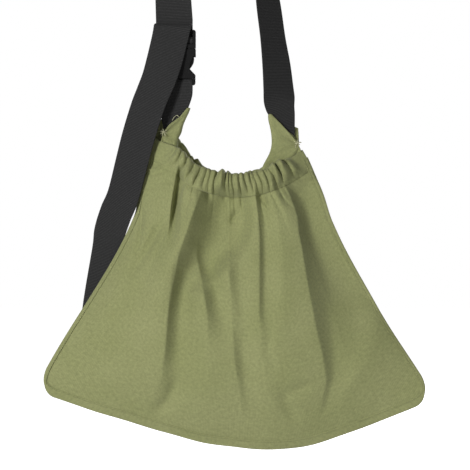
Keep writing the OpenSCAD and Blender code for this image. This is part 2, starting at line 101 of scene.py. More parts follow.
class BagSizes(bpy.types.PropertyGroup):
    """Sizes of the cloth, most of them the frame's own."""

    mouth_width: length("Mouth width", "Distance between the knots of the two ears", 185)
    knot_drop: length("Knot drop", "Drop from the shoulder to the knots of the ears", 400)
    bag_right: length("Bag offset", "Distance of the bag's middle to the right of the shoulder's middle", 25)
    bag_width: length("Bag width", "Distance between the points where its edges would meet", 554)
    corner_drop: length("Corner drop", "Drop from the knots to the bottom corners", 356)
    hem_sag: length("Hem sag", "Drop from the corners to the lowest point of the bottom edge", 76)
    mouth_dip: length("Mouth dip", "Dip of the mouth between the ears", 43)
    mouth_reach: length("Mouth reach", "How far each end of the mouth reaches out past its knot", 3)
    mouth_depth: length("Mouth depth", "Depth of the open mouth in front of the ears, and behind them", 30)
    front_swell: length("Front swell", "Swell of the front panel", 44)
    back_swell: length("Back swell", "Swell of the back panel", 10)
    front_fold: length("Front folds", "Drop of the deepest fold of the front panel", 22)
    back_fold: length("Back folds", "Drop of the deepest fold of the back panel", 7)
    canvas_thickness: length("Canvas thickness", "Thickness of one layer of canvas", 1.2)
    ear_fall: length("Ear fall", "How much lower the right ear hangs", 15)
    corner_fall: length("Corner fall", "How much lower the right corner hangs", 11)
    corner_shift: length("Corner shift", "How far right of the mouth the two corners hang", 6)
    low_shift: length("Low shift", "How far right of the mouth the lowest point hangs", 55)
    left_bow: length("Left bow", "How far the left edge bows in", 19)
    left_slack: length("Left slack", "How far the left edge stands out behind the loose tail", 9.5)
    right_bow: length("Right bow", "How far the right edge bows in", 11)
    ear_skirt: length("Ear skirt", "Height of each ear under its knot", 8)
    ear_pull: length("Ear pull", "How far the left ear pulls up the mouth beside it", 8)
    casing_height: length("Casing height", "Height of the elastic casing", 31)
    casing_thickness: length("Casing thickness", "Thickness of the casing with its elastic", 5.4)
    gather_height: length("Gather height", "Height of the gathers in the casing", 11)
    elastic_width: length("Elastic width", "Width of the elastic in the casing", 20)


class StrapSizes(bpy.types.PropertyGroup):
    """Sizes of the webbing and of the buckle that it is threaded through, most of them the frame's own."""

    webbing_width: length("Webbing width", "Width of the webbing", 50)
    webbing_thickness: length("Webbing thickness", "Thickness of the webbing", 1.6)
    shoulder_radius: length("Shoulder radius", "Inside radius of the strap over the shoulder", 57)
    buckle_drop: length("Buckle drop", "Drop from the shoulder to the mouth of the buckle", 276)
    buckle_left: length("Buckle offset", "Distance of the buckle to the left of the shoulder's middle", 53)
    ladder_height: length("Ladder height", "Length of the plug's ladder frame", 26)
    socket_height: length("Socket height", "Length of the socket", 51)
    socket_thickness: length("Socket thickness", "Thickness of the socket", 12)
    bar_radius: length("Bar radius", "Radius of the strap bars in the plug", 2.1)
    tab_bar_radius: length("Tab bar radius", "Radius of the tab bar in the socket", 2.25)
    clearance: length("Clearance", "Clearance between the webbing and what it passes", 0.3)
    edge_bevel: length("Edge bevel", "Rounding of the moulded edges of the buckle", 0.5)


class Finishes(bpy.types.PropertyGroup):
    """Colours of the object."""

    canvas: colour("Canvas", "Sage cotton canvas in even light", "919565")
    canvas_worn: colour("Worn canvas", "Canvas where it has faded", "989B6C")
    # Webbing colours: the crown colour carries a painted highlight on the ribs, and the colour between ribs a
    # painted shade.
    webbing: colour("Webbing", "Black webbing on the crown of a rib", "3A3A3A")
    webbing_painted_shade: colour("Webbing between ribs", "Black webbing between two ribs", "252525")
    plastic: colour("Plastic", "Black moulded plastic", "141414")
    thread: colour("Thread", "Sewing thread on the canvas", "8C9064")
    pale_thread: colour("Pale thread", "Thread of the knots on the ears", "B4B391")
    elastic: colour("Elastic", "Woven elastic", "DAD6CC")


class BagLook(bpy.types.PropertyGroup):
    """Everything that the panel shows."""

    bag: PointerProperty(type=BagSizes, name="Bag", description="Sizes of the cloth")
    strap: PointerProperty(type=StrapSizes, name="Strap", description="Sizes of the webbing")
    finish: PointerProperty(type=Finishes, name="Finish", description="Colours of the object")


# Small maths

def lerp(a, b, t):
    return a + (b - a) * t


def ease(low, high, value):
    """0 below low, 1 above high, smooth between them."""
    t = np.clip((value - low) / (high - low), 0, 1)
    return t * t * (3 - 2 * t)


def unit(v):
    return v / np.linalg.norm(v, axis=-1, keepdims=True)


def ripple(x, z, scale, seed):
    """Smooth noise over the cloth, about -1 to 1, with features of that scale."""
    flat = [noise.noise(Vector((a / scale, b / scale, seed))) for a, b in zip(x.ravel(), z.ravel())]
    return np.array(flat).reshape(x.shape)


# Nodes

def add_node(tree, kind, inputs=None, **settings):
    """Adds a node with its settings; an input is a value, or a socket to link from."""
    node = tree.nodes.new(kind)
    for name, value in settings.items():
        setattr(node, name, value)
    for name, value in (inputs or {}).items():
        if isinstance(value, bpy.types.NodeSocket):
            tree.links.new(value, node.inputs[name])
        else:
            node.inputs[name].default_value = value
    return node


def new_material(name):
    """An empty node material and its tree."""
    material = bpy.data.materials.new(name)
    material.use_nodes = True
    material.node_tree.nodes.clear()
    return material, material.node_tree


def finished(material, look):
    """The material with that look on a Principled shader, linked to the output."""
    tree = material.node_tree
    shader = add_node(tree, "ShaderNodeBsdfPrincipled", look)
    add_node(tree, "ShaderNodeOutputMaterial", {"Surface": shader.outputs["BSDF"]})
    return material


def rgba(values):
    return (*values, 1.0)


# What a Wave texture multiplies its place by, besides its scale.
WAVE_RATE = 20


def wave_scale(period):
    """Scale of a Wave texture whose bands repeat at that period, in metres."""
    return 2 * math.pi / (WAVE_RATE * period)


# Materials

THREAD_PITCH = 1.7 * MM
SLUB_SIZE = 4 * MM
FADE_SIZE = 70 * MM
WEAVE_RELIEF = 0.4 * MM


def canvas_material(finish):
    """Plain-woven cotton canvas, garment dyed: matt, with crossing threads, slubs and slow fading.

    The threads are drawn about twice as coarse as they are, because finer ones don't show."""
    material, tree = new_material("sage cotton canvas")
    cloth = add_node(tree, "ShaderNodeUVMap", uv_map="cloth").outputs["UV"]
    threads = []
    for direction in ("X", "Y"):
        threads.append(add_node(tree, "ShaderNodeTexWave", {
            "Vector": cloth, "Scale": wave_scale(THREAD_PITCH), "Distortion": 1.6, "Detail": 1.0,
            "Detail Scale": 0.35}, bands_direction=direction).outputs["Fac"])
    weave = add_node(tree, "ShaderNodeMath", {0: threads[0], 1: threads[1]}, operation="MULTIPLY").outputs[0]
    slub = add_node(tree, "ShaderNodeTexNoise", {
        "Vector": cloth, "Scale": 1 / SLUB_SIZE, "Detail": 4.0, "Roughness": 0.65}).outputs["Fac"]
    fade = add_node(tree, "ShaderNodeTexNoise", {
        "Vector": cloth, "Scale": 1 / FADE_SIZE, "Detail": 2.0}).outputs["Fac"]
    worn = add_node(tree, "ShaderNodeMapRange", {
        "Value": fade, "From Min": 0.35, "From Max": 0.7}).outputs["Result"]
    base = add_node(tree, "ShaderNodeMix", {
        "Factor": worn, "A": rgba(finish.canvas), "B": rgba(finish.canvas_worn)}, data_type="RGBA")
    mottle = add_node(tree, "ShaderNodeMapRange", {
        "Value": slub, "From Min": 0.3, "From Max": 0.7, "To Min": 0.84, "To Max": 1.14}).outputs["Result"]
    grain = add_node(tree, "ShaderNodeMapRange", {
        "Value": weave, "To Min": 0.9, "To Max": 1.1}).outputs["Result"]
    tone = add_node(tree, "ShaderNodeMath", {0: mottle, 1: grain}, operation="MULTIPLY").outputs[0]
    tinted = add_node(tree, "ShaderNodeVectorMath", {
        0: base.outputs[2], "Scale": tone}, operation="SCALE").outputs["Vector"]
    relief = add_node(tree, "ShaderNodeMath", {0: weave, 1: slub}, operation="ADD").outputs[0]
    bump = add_node(tree, "ShaderNodeBump", {"Height": relief, "Strength": 0.35, "Distance": WEAVE_RELIEF})
    return finished(material, {
        "Base Color": tinted, "Normal": bump.outputs["Normal"], "Roughness": 0.92, "Specular IOR Level": 0.2,
        "Sheen Weight": 0.12})


RIB_PITCH = 2.1 * MM
RIB_RELIEF = 0.35 * MM
YARN_SIZE = 2.5 * MM


def webbing_material(finish):
    """Black woven nylon webbing: ribs straight across and a slight sheen; the crowns are painted paler and
    the gaps between ribs darker, a painted highlight and painted shade of the ribs.
    """
    material, tree = new_material("black nylon webbing")
    cloth = add_node(tree, "ShaderNodeUVMap", uv_map="cloth").outputs["UV"]
    rib = add_node(tree, "ShaderNodeTexWave", {
        "Vector": cloth, "Scale": wave_scale(RIB_PITCH), "Distortion": 0.9, "Detail": 1.0,
        "Detail Scale": 0.6}, bands_direction="Y").outputs["Fac"]
    yarn = add_node(tree, "ShaderNodeTexNoise", {
        "Vector": cloth, "Scale": 1 / YARN_SIZE, "Detail": 3.0, "Roughness": 0.7}).outputs["Fac"]
    # Crowns painted paler and gaps between ribs darker: painted highlight and painted shade of the ribs,
    # varied by random yarn tone.
    crown = add_node(tree, "ShaderNodeMath", {0: rib, 1: yarn}, operation="MULTIPLY").outputs[0]
    lift = add_node(tree, "ShaderNodeMapRange", {
        "Value": crown, "From Min": 0.05, "From Max": 0.55}).outputs["Result"]
    base = add_node(tree, "ShaderNodeMix", {
        "Factor": lift, "A": rgba(finish.webbing_painted_shade), "B": rgba(finish.webbing)}, data_type="RGBA")
    bump = add_node(tree, "ShaderNodeBump", {"Height": rib, "Strength": 0.35, "Distance": RIB_RELIEF})
    return finished(material, {
        "Base Color": base.outputs[2], "Normal": bump.outputs["Normal"], "Roughness": 0.8,
        "Specular IOR Level": 0.08, "Sheen Weight": 0.02})


MOULD_GRAIN = 0.9 * MM
MOULD_RELIEF = 0.05 * MM
RUBBED_SIZE = 11 * MM


def plastic_material(finish):
    """Black acetal, injection moulded with a fine spark-eroded grain: satin, glossier where it is rubbed."""
    material, tree = new_material("black moulded acetal")
    place = add_node(tree, "ShaderNodeTexCoord").outputs["Object"]
    grain = add_node(tree, "ShaderNodeTexNoise", {
        "Vector": place, "Scale": 1 / MOULD_GRAIN, "Detail": 2.0}).outputs["Fac"]
    rubbed = add_node(tree, "ShaderNodeTexNoise", {
        "Vector": place, "Scale": 1 / RUBBED_SIZE, "Detail": 3.0}).outputs["Fac"]
    gloss = add_node(tree, "ShaderNodeMapRange", {
        "Value": rubbed, "From Min": 0.3, "From Max": 0.7, "To Min": 0.45, "To Max": 0.6}).outputs["Result"]
    tone = add_node(tree, "ShaderNodeMapRange", {
        "Value": grain, "To Min": 0.85, "To Max": 1.15}).outputs["Result"]
    tinted = add_node(tree, "ShaderNodeVectorMath", {
        0: tuple(finish.plastic), "Scale": tone}, operation="SCALE").outputs["Vector"]
    bump = add_node(tree, "ShaderNodeBump", {"Height": grain, "Strength": 0.25, "Distance": MOULD_RELIEF})
    return finished(material, {
        "Base Color": tinted, "Normal": bump.outputs["Normal"], "Roughness": gloss, "IOR": 1.48,
        "Specular IOR Level": 0.07})


TWIST_SIZE = 1.2 * MM


def thread_material(name, base):
    """Spun sewing thread: matt, with a twist that shows as a change of tone."""
    material, tree = new_material(name)
    place = add_node(tree, "ShaderNodeTexCoord").outputs["Object"]
    twist = add_node(tree, "ShaderNodeTexNoise", {"Vector": place, "Scale": 1 / TWIST_SIZE}).outputs["Fac"]
    tone = add_node(tree, "ShaderNodeMapRange", {
        "Value": twist, "To Min": 0.8, "To Max": 1.15}).outputs["Result"]
    tinted = add_node(tree, "ShaderNodeVectorMath", {
        0: tuple(base), "Scale": tone}, operation="SCALE").outputs["Vector"]
    return finished(material, {"Base Color": tinted, "Roughness": 0.8})


ELASTIC_RIB = 2 * MM
ELASTIC_RELIEF = 0.3 * MM


def elastic_material(finish):
    """Knitted elastic: off-white, ribbed along its length."""
    material, tree = new_material("knitted elastic")
    cloth = add_node(tree, "ShaderNodeUVMap", uv_map="cloth").outputs["UV"]
    rib = add_node(tree, "ShaderNodeTexWave", {
        "Vector": cloth, "Scale": wave_scale(ELASTIC_RIB), "Distortion": 0.5},
        bands_direction="Y").outputs["Fac"]
    tone = add_node(tree, "ShaderNodeMapRange", {
        "Value": rib, "To Min": 0.8, "To Max": 1.05}).outputs["Result"]
    tinted = add_node(tree, "ShaderNodeVectorMath", {
        0: tuple(finish.elastic), "Scale": tone}, operation="SCALE").outputs["Vector"]
    bump = add_node(tree, "ShaderNodeBump", {"Height": rib, "Strength": 0.4, "Distance": ELASTIC_RELIEF})
    return finished(material, {
        "Base Color": tinted, "Normal": bump.outputs["Normal"], "Roughness": 0.85})


MATERIAL_MAKERS = {
    "canvas": canvas_material,
    "webbing": webbing_material,
    "plastic": plastic_material,
    "thread": lambda finish: thread_material("spun polyester thread", finish.thread),
    "pale thread": lambda finish: thread_material("pale cotton thread", finish.pale_thread),
    "elastic": elastic_material,
}
MATERIALS = {}


def material_of(kind):
    """The material of that kind, made once."""
    if kind not in MATERIALS:
        MATERIALS[kind] = MATERIAL_MAKERS[kind](bpy.context.scene.picking_bag.finish)
    return MATERIALS[kind]


# Meshes

def new_piece(name, mesh, slot):
    """A shown object of that mesh, with the material of that slot."""
    piece = bpy.data.objects.new(name, mesh)
    bpy.context.scene.collection.objects.link(piece)
    mesh.materials.clear()
    mesh.materials.append(material_of(slot))
    return piece


def grid_mesh(name, points, uv, wrap=False, flip=False, capped=False):
    """Smooth mesh of a grid of points, rows by columns, with its UV in a map named cloth.

    wrap joins the last column to the first, flip turns the faces round, and capped closes the ends."""
    rows, columns = points.shape[:2]
    spans = columns if wrap else columns - 1
    faces, corners = [], []
    for i in range(rows - 1):
        for j in range(spans):
            k = (j + 1) % columns
            quad = [(i, j), (i, k), (i + 1, k), (i + 1, j)]
            uv_quad = [(i, j), (i, j + 1), (i + 1, j + 1), (i + 1, j)]
            if flip:
                quad.reverse()
                uv_quad.reverse()
            faces.append([a * columns + b for a, b in quad])
            corners.extend(uv_quad)
    index = np.array(corners)
    face_uv = uv[index[:, 0], index[:, 1]]
    if capped:
        first = list(range(columns))
        last = [i + (rows - 1) * columns for i in first]
        faces += [first[::-1], last]
        face_uv = np.concatenate([face_uv, np.zeros((2 * columns, 2))])
    mesh = bpy.data.meshes.new(name)
    mesh.from_pydata(points.reshape(-1, 3).tolist(), [], faces)
    layer = mesh.uv_layers.new(name="cloth")
    layer.data.foreach_set("uv", face_uv.astype(np.float32).ravel())
    mesh.polygons.foreach_set("use_smooth", [True] * len(faces))
    mesh.update()
    return mesh


def add_thickness(piece, thickness, offset):
    """Gives a sheet its thickness; an offset of 1 adds it on the outside."""
    solidify = piece.modifiers.new("cloth thickness", "SOLIDIFY")
    solidify.thickness = thickness
    solidify.offset = offset
    solidify.use_even_offset = False
    solidify.use_rim = True


# Shape of the cloth

# How flat the dip of the mouth is in its middle, as a power of u.
FRONT_MOUTH_POWER = 2.1
BACK_MOUTH_POWER = 1.6
# Where along the mouth the left ear pulls it up, over what width, and how much more it pulls the back.
EAR_PULL_PLACE = -0.76
EAR_PULL_WIDTH = 0.16
BACK_PULL = 1.7
# How softly the bottom edge turns at its lowest point, as a share of the way to a corner, and the height of
# its ripples; each row has a ripple's share of that height, its rate along u and its start.
HEM_ROUND = 0.4
HEM_RIPPLE = 0.7 * MM
HEM_WAVES = ((1, 11, 0.5), (0.6, 23, 2))
# How low each side edge bows in most, as a power of s, and how soon the bow fades inwards, as a power of u.
LEFT_SKEW = 0.75
RIGHT_SKEW = 1.35
BOW_POWER = 3
# How far the right edge is drawn in under the casing, how far it stands out above that, and where, as s.
RIGHT_WAIST = 6.5 * MM
WAIST_START = (0.15, 0.3)
WAIST_END = (0.33, 0.62)
RIGHT_SHOULDER = 4.5 * MM
SHOULDER_END = (0, 0.18)
# Where the slack of the left edge ends, as s, and how soon it fades inwards, as a power of u.
SLACK_END = (0.18, 0.31)
SLACK_POWER = 8
# How flat the bag is in its middle, as a power of u, and how low its swell lies, as a power of s.
LENS_POWER = 3.2
SWELL_SKEW = 1.3
# Share of the half width and of the height that the rounding of a bottom corner takes.
CORNER_ROUND = 0.1
# Half of the gap between the panels at their shared edge.
SEAM_HALF = 0.15 * MM
# Share of the bag's depth that the folds may take, the room that they have at its edge, and how sharply they
# stop there.
FOLD_ROOM = 0.9
EDGE_ROOM = 0.01 * MM
FOLD_STOP = 4
# How much higher the folds start, as s, and where that ends.
FOLD_RISE = 0.03
FOLD_RISE_END = (0.09, 0.25)

# Main folds, close to the frame's: each row has s, u, share of the fold depth, half width of the slope that
# falls away to the right, and how far the cloth takes to rise again, both as shares of the bag's half width.
FRONT_FOLDS = (
    ((0.05, -0.17, 0, 0.17, 0.3), (0.1, -0.17, 0.6, 0.18, 0.3), (0.13, -0.185, 1.25, 0.19, 0.32),
     (0.17, -0.2, 1.75, 0.2, 0.32), (0.21, -0.23, 1.9, 0.2, 0.3), (0.28, -0.285, 1.75, 0.17, 0.26),
     (0.34, -0.34, 1.35, 0.135, 0.22), (0.4, -0.385, 0.95, 0.085, 0.18), (0.46, -0.415, 0.7, 0.053, 0.15),
     (0.54, -0.412, 0.6, 0.047, 0.17), (0.62, -0.395, 0.55, 0.045, 0.2), (0.7, -0.38, 0.5, 0.045, 0.2),
     (0.8, -0.365, 0.38, 0.045, 0.2), (0.88, -0.395, 0.12, 0.045, 0.2), (0.94, -0.44, 0, 0.045, 0.2)),
    ((0.26, -0.27, 0, 0.06, 0.18), (0.33, -0.265, 0.42, 0.05, 0.17), (0.39, -0.215, 0.5, 0.05, 0.16),
     (0.46, -0.165, 0.42, 0.05, 0.15), (0.54, -0.125, 0.3, 0.05, 0.14), (0.65, -0.11, 0, 0.05, 0.13)),
    ((0.07, 0.04, 0, 0.05, 0.15), (0.13, 0.035, 0.4, 0.05, 0.17), (0.19, 0.03, 0.45, 0.05, 0.18),
     (0.24, 0.025, 0.4, 0.05, 0.19), (0.4, 0.02, 0.28, 0.04, 0.16),
     (0.55, 0.03, 0.28, 0.035, 0.14), (0.68, 0.04, 0.3, 0.03, 0.14), (0.8, 0.06, 0.18, 0.026, 0.13),
     (0.92, 0.08, 0, 0.024, 0.12)),
    ((0.07, 0.33, 0, 0.03, 0.13), (0.11, 0.34, 0.4, 0.032, 0.14), (0.19, 0.33, 0.42, 0.033, 0.16),
     (0.29, 0.29, 0.38, 0.03, 0.17), (0.4, 0.25, 0.32, 0.027, 0.16), (0.5, 0.22, 0.23, 0.024, 0.14),
     (0.57, 0.215, 0, 0.022, 0.13)),
    ((0.09, 0.7, 0, 0.04, 0.2), (0.15, 0.74, 0.6, 0.05, 0.3), (0.21, 0.772, 0.95, 0.077, 0.5),
     (0.26, 0.755, 1.05, 0.09, 0.6), (0.32, 0.74, 1.1, 0.09, 0.6), (0.41, 0.71, 1, 0.095, 0.55),
     (0.48, 0.69, 0.9, 0.095, 0.55), (0.59, 0.637, 0.7, 0.067, 0.45), (0.7, 0.6, 0.5, 0.043, 0.3),
     (0.79, 0.565, 0.3, 0.027, 0.2), (0.84, 0.52, 0.18, 0.02, 0.12), (0.92, 0.45, 0, 0.016, 0.1)),
)
BACK_FOLDS = tuple(
    ((0.09, u, 0, 0.08, 0.28), (0.25, u, 1, 0.07, 0.26), (0.55, u, 0.65, 0.06, 0.22), (0.78, u, 0, 0.05, 0.2))
    for u in (-0.6, -0.15, 0.26, 0.65))
# Lesser folds of the front, in the same form; the first is a swelling to the left of the deepest fold.
FRONT_LESSER = (
    ((0.07, -0.52, 0, 0.08, 0.3), (0.13, -0.5, -0.4, 0.09, 0.36), (0.21, -0.52, -0.6, 0.09, 0.36),
     (0.3, -0.56, -0.55, 0.08, 0.28), (0.4, -0.6, -0.35, 0.07, 0.16), (0.55, -0.6, -0.15, 0.07, 0.12),
     (0.75, -0.58, 0, 0.07, 0.12)),
    ((0.04, -0.68, 0, 0.02, 0.08), (0.1, -0.67, 0.6, 0.019, 0.08), (0.17, -0.652, 0.75, 0.019, 0.085),
     (0.21, -0.632, 0.68, 0.02, 0.09), (0.25, -0.608, 0.55, 0.022, 0.09), (0.34, -0.58, 0, 0.026, 0.09)),
    ((0.2, -0.7, 0, 0.1, 0.2), (0.34, -0.77, 0.15, 0.095, 0.18), (0.47, -0.78, 0.2, 0.085, 0.15),
     (0.69, -0.79, 0.2, 0.066, 0.15), (0.81, -0.81, 0.15, 0.06, 0.12), (0.92, -0.84, 0, 0.055, 0.1)),
    ((0.3, -0.42, 0, 0.06, 0.12), (0.4, -0.45, 0.2, 0.05, 0.12), (0.5, -0.43, 0.24, 0.045, 0.12),
     (0.6, -0.41, 0.24, 0.04, 0.14), (0.7, -0.39, 0.2, 0.035, 0.15), (0.82, -0.4, 0, 0.035, 0.15)),
    ((0.3, -0.27, 0, 0.05, 0.12), (0.39, -0.21, 0.15, 0.05, 0.12), (0.5, -0.14, 0.18, 0.05, 0.12),
     (0.62, -0.11, 0, 0.05, 0.12)),
    ((0.13, 0.86, 0.05, 0.06, 0.1), (0.26, 0.8, 0.15, 0.07, 0.12), (0.48, 0.78, 0.15, 0.07, 0.15),
     (0.7, 0.76, 0.1, 0.06, 0.15), (0.8, 0.75, 0, 0.06, 0.15)),
)
# Short creases of the front: path as (x, z) in millimetres, depth, and width to its left and to its right.
FRONT_CREASES = (
    (((36, -499), (30, -512), (23, -522)), 5, 5, 4),
    (((64, -484), (72, -488), (82, -498)), 4, 4, 4),
    (((-6, -464), (-5, -480), (-3, -493)), 6, 6, 5),
    (((40, -478), (43, -492), (46, -506)), 4, 3, 4),
    (((15, -466), (17, -480), (18, -492)), 3, 3, 3),
    (((-48, -734), (-62, -765), (-88, -788)), 5, 8, 12),
    (((94, -748), (108, -775), (121, -802)), 4, 9, 8),
    (((140, -738), (116, -748), (94, -756)), 3, 8, 8),
    (((80, -655), (75, -698), (88, -724)), 3, 8, 8),
    (((-66, -512), (-90, -556), (-118, -600)), 7, 8, 6),
    (((-97, -502), (-100, -540), (-108, -572)), 5, 5, 4),
)


def fold_share(u, s, folds):
    """How far folds draw the cloth in, as a share of the fold depth.

    Each falls away crisply at its left edge, levels out, and rises again to the right."""
    total = np.zeros_like(u)
    for rows in folds:
        table = np.array(rows)
        place, share, half, back = [np.interp(s, table[:, 0], table[:, k]) for k in (1, 2, 3, 4)]
        off = u - place
        run = np.clip(off / half / 2 + 0.5, 0, 1)
        total = total + share * run * (3 - run ** 2) / 2 * (1 - ease(half, half + back, off))
    return total


# Share of a crease's depth at its start, where along it that has grown to all of it, and where it runs out.
CREASE_START = 0.35
CREASE_GROWN = 0.25
CREASE_END = (0.55, 1.05)


def crease_depth(x, z, creases):
    """How far the short creases draw the cloth in at (x, z)."""
    total = np.zeros_like(x)
    for path, depth, left, right in creases:
        points = np.array(path, float) * MM
        spans = np.linalg.norm(np.diff(points, axis=0), axis=1)
        starts = np.concatenate([[0], np.cumsum(spans)])
        nearest = np.full_like(x, np.inf)
        off = np.zeros_like(x)
        share = np.zeros_like(x)
        for k, span in enumerate(spans):
            along = (points[k + 1] - points[k]) / span
            t = np.clip((x - points[k][0]) * along[0] + (z - points[k][1]) * along[1], 0, span)
            dx = x - points[k][0] - along[0] * t
            dz = z - points[k][1] - along[1] * t
            distance = np.hypot(dx, dz)
            closer = distance < nearest
            nearest = np.where(closer, distance, nearest)
            off = np.where(closer, dx * -along[1] + dz * along[0], off)
            share = np.where(closer, (starts[k] + t) / starts[-1], share)
        width = np.where(off > 0, right, left) * MM
        growth = CREASE_START + (1 - CREASE_START) * ease(0, CREASE_GROWN, share)
        taper = growth * (1 - ease(*CREASE_END, share))
        total += depth * MM * taper * np.exp(-(nearest / width) ** 2)
    return total


def waves(x, z, side, rows):
    """Uneven waves of the cloth; each row has height and length in millimetres, and a seed."""
    return sum(height * MM * ripple(x, z, size * MM, seed + side) for height, size, seed in rows)


# Where the valleys between the front gathers lie, from the left ear to the right one, as u.
FRONT_VALLEYS = (-0.81, -0.73, -0.64, -0.55, -0.45, -0.34, -0.28, -0.21, -0.05, -0.01, 0.04, 0.13, 0.21, 0.28,
                 0.34, 0.4, 0.48, 0.57, 0.66, 0.79, 0.88)
# The back is gathered much the same, with its valleys elsewhere.
BACK_VALLEYS = (-0.84, -0.75, -0.61, -0.56, -0.42, -0.36, -0.23, -0.16, -0.1, 0.02, 0.07, 0.19, 0.24, 0.36,
                0.43, 0.55, 0.6, 0.71, 0.8, 0.86)
FRONT_GATHER_SEED = 4
BACK_GATHER_SEED = 11
# How far the gathers fan out, and the level in the casing at which they stand straight.
GATHER_FAN = 0.2
FAN_MIDDLE = 0.5
# Width of a usual gather as u, and how much lower or higher a narrow or a wide one may stand.
USUAL_GATHER = 0.08
GATHER_SPREAD = (0.6, 1.2)
# What the random draws choose from: height, reach down the panel in millimetres, lean to one side, fading
# towards the top or the bottom, and depth of a valley.
GATHER_HEIGHTS = (0.7, 1.15)
GATHER_REACHES = (13, 18, 24, 32, 40)
GATHER_LEANS = (-0.9, 0.9)
GATHER_FADES = (-0.8, -0.3, 0.2, 0.7)
VALLEY_DEPTHS = (0.55, 1.0)
# How broad the crowns are, as a power of a sine, and the range of what fading leaves of a gather's height.
RIDGE_POWER = 0.55
FADE_RANGE = (0.2, 1.8)
# How far outside the end valleys the gathers begin, and how far inside them they are full, as u.
GATHER_ENDS = (0.04, 0.06)


def stray(down, u, plan):
    """How far gathers stray to either side on their way down, as a share of one gather."""
    sway, drop, shift = plan
    return sway * np.sin(down / drop + shift * u)


class GatherRow:
    """Uneven gathers along one casing: where the valleys lie, and how high each ridge stands."""

    def __init__(self, valleys, seed):
        rng = random.Random(seed)
        count = len(valleys) - 1
        self.valleys = np.array(valleys)
        self.middles = (self.valleys[1:] + self.valleys[:-1]) / 2
        spread = np.clip(np.diff(self.valleys) / USUAL_GATHER, *GATHER_SPREAD)
        self.heights = spread * np.array([rng.uniform(*GATHER_HEIGHTS) for _ in range(count)])
        self.reaches = np.array([rng.choice(GATHER_REACHES) for _ in range(count)]) * MM
        self.leans = np.array([rng.uniform(*GATHER_LEANS) for _ in range(count)])
        self.fades = np.array([rng.choice(GATHER_FADES) for _ in range(count)])
        self.depths = np.array([rng.uniform(*VALLEY_DEPTHS) for _ in valleys])

    def ridge(self, u, wander, fan, level):
        """Height of the gathers, which fan out towards the ends; each fades towards its top or its bottom."""
        u = u - GATHER_FAN * u ** 3 * fan
        phase = np.interp(u, self.valleys, np.arange(len(self.valleys))) + wander
        first, last = self.valleys[0], self.valleys[-1]
        outside, inside = GATHER_ENDS
        window = ease(first - outside, first + inside, u) * (1 - ease(last - inside, last + outside, u))
        valley = 1 - np.abs(np.sin(math.pi * phase)) ** RIDGE_POWER
        crown = 1 - np.interp(u, self.valleys, self.depths) * valley
        fade = np.clip(1 + np.interp(u, self.middles, self.fades) * (2 * level - 1), *FADE_RANGE)
        return crown * np.interp(u, self.middles, self.heights) * window * fade

    def reach(self, u):
        """How far each gather runs down the panel."""
        return np.interp(u, self.middles, self.reaches)

    def lean(self, u):
        """How far each gather leans aside."""
        return np.interp(u, self.middles, self.leans)


# Gathers of a panel: height, share of it at the stitch line, how far below that they are full, over what
# drop a gather leans aside by one place, and its stray: how far, over what drop, and the shift along u.
PANEL_GATHER = 7 * MM
PANEL_PINCH = 0.32
PANEL_PUFF = 12 * MM
PANEL_LEAN = 60 * MM
PANEL_STRAY = (0.05, 11 * MM, 9)
# Inside the deepest fold the cloth is pulled nearly flat: share of the gathers' height lost, and where, as u.
FOLD_PULL = 0.8
FOLD_PULL_START = (-0.46, -0.34)
FOLD_PULL_END = (-0.14, -0.04)
FOLD_PULL_TOP = 8 * MM
# Waves of a panel, how far under the stitch line they are full, and how soon they fade at the side edges, as
# a power of u.
PANEL_WAVES = ((1.6, 62, 3), (0.5, 21, 7))
PANEL_CALM = 14 * MM
WAVE_POWER = 6

# Casing: its level runs from its top (0) to its stitch line (1), and aside is u without its sign.
# Lap of its cloth over the panel, how much of that is lost at the ends of the stitch line, and where.
CASING_LAP = 1.2 * MM
CASING_LAP_LOSS = 0.9 * MM
LAP_LOSS_LEVELS = (0.75, 1)
LAP_LOSS_ASIDE = (0.3, 0.7)
# Share of the thickness lost towards the ears, and how far aside.
CASING_THINNING = 0.75
CASING_THIN = (0.72, 0.96)
# Section: how round it is, as a power of a sine, the level where it is thickest, the step that its outside
# keeps at the stitch line, and how far aside that ends.
CASING_ROUND = 0.55
CASING_WIDEST = 0.5
CASING_LEDGE = 0.15
CASING_LEDGE_END = (0.4, 0.8)
# Over what height a gather leans aside by one place, its stray, and the waves of the cloth.
CASING_LEAN = 90 * MM
CASING_STRAY = (0.16, 7 * MM, 5)
CASING_WAVES = ((0.9, 9, 21), (1.3, 17, 25))
# Levels over which the folds of the panel take hold of the casing.
CASING_DRAW = (0.2, 1)
# Share of the gathers' height on the inside, least room for the elastic, and the levels where it begins and
# ends.
INSIDE_GATHER = 0.45
ELASTIC_ROOM = 1.1 * MM
ROOM_TOP = (0, 0.15)
ROOM_FOOT = (0.8, 0.95)
# Height of the gathers at the stitch line, and how far up those reach.
SEAM_GATHER = 2.2 * MM
SEAM_GATHER_TOP = 14 * MM
# Height of the waves along the top, the height of a gather that leaves it level, and how they grow from the
# stitch line up, as shares of the casing's height.
SCALLOP = 3.4 * MM
SCALLOP_MIDDLE = 0.5
SCALLOP_GROWTH = (0.35, 1)


def round_corners(u, s):
    """(u, s) drawn in near the bottom corners, so that these are round."""
    flat = 1 - CORNER_ROUND
    q = np.clip((np.abs(u) - flat) / CORNER_ROUND, 0, 1)
    r = np.clip((s - flat) / CORNER_ROUND, 0, 1)
    inner_u = np.where(q > 0, np.sign(u) * (flat + CORNER_ROUND * q * np.sqrt(1 - r * r / 2)), u)
    inner_s = np.where(r > 0, flat + CORNER_ROUND * r * np.sqrt(1 - q * q / 2), s)
    return inner_u, inner_s


def casing_loft(outside, level, aside):
    """Section of the casing, from -1 where it is thickest on the inside to 1 on the outside."""
    ledge = CASING_LEDGE * (1 - ease(*CASING_LEDGE_END, aside))
    lower = (outside > 0) & (level > CASING_WIDEST)
    slope = 1 - ease(CASING_WIDEST, 1 + ledge, level)
    return np.where(lower, slope, np.abs(outside) ** CASING_ROUND) * np.sign(outside)


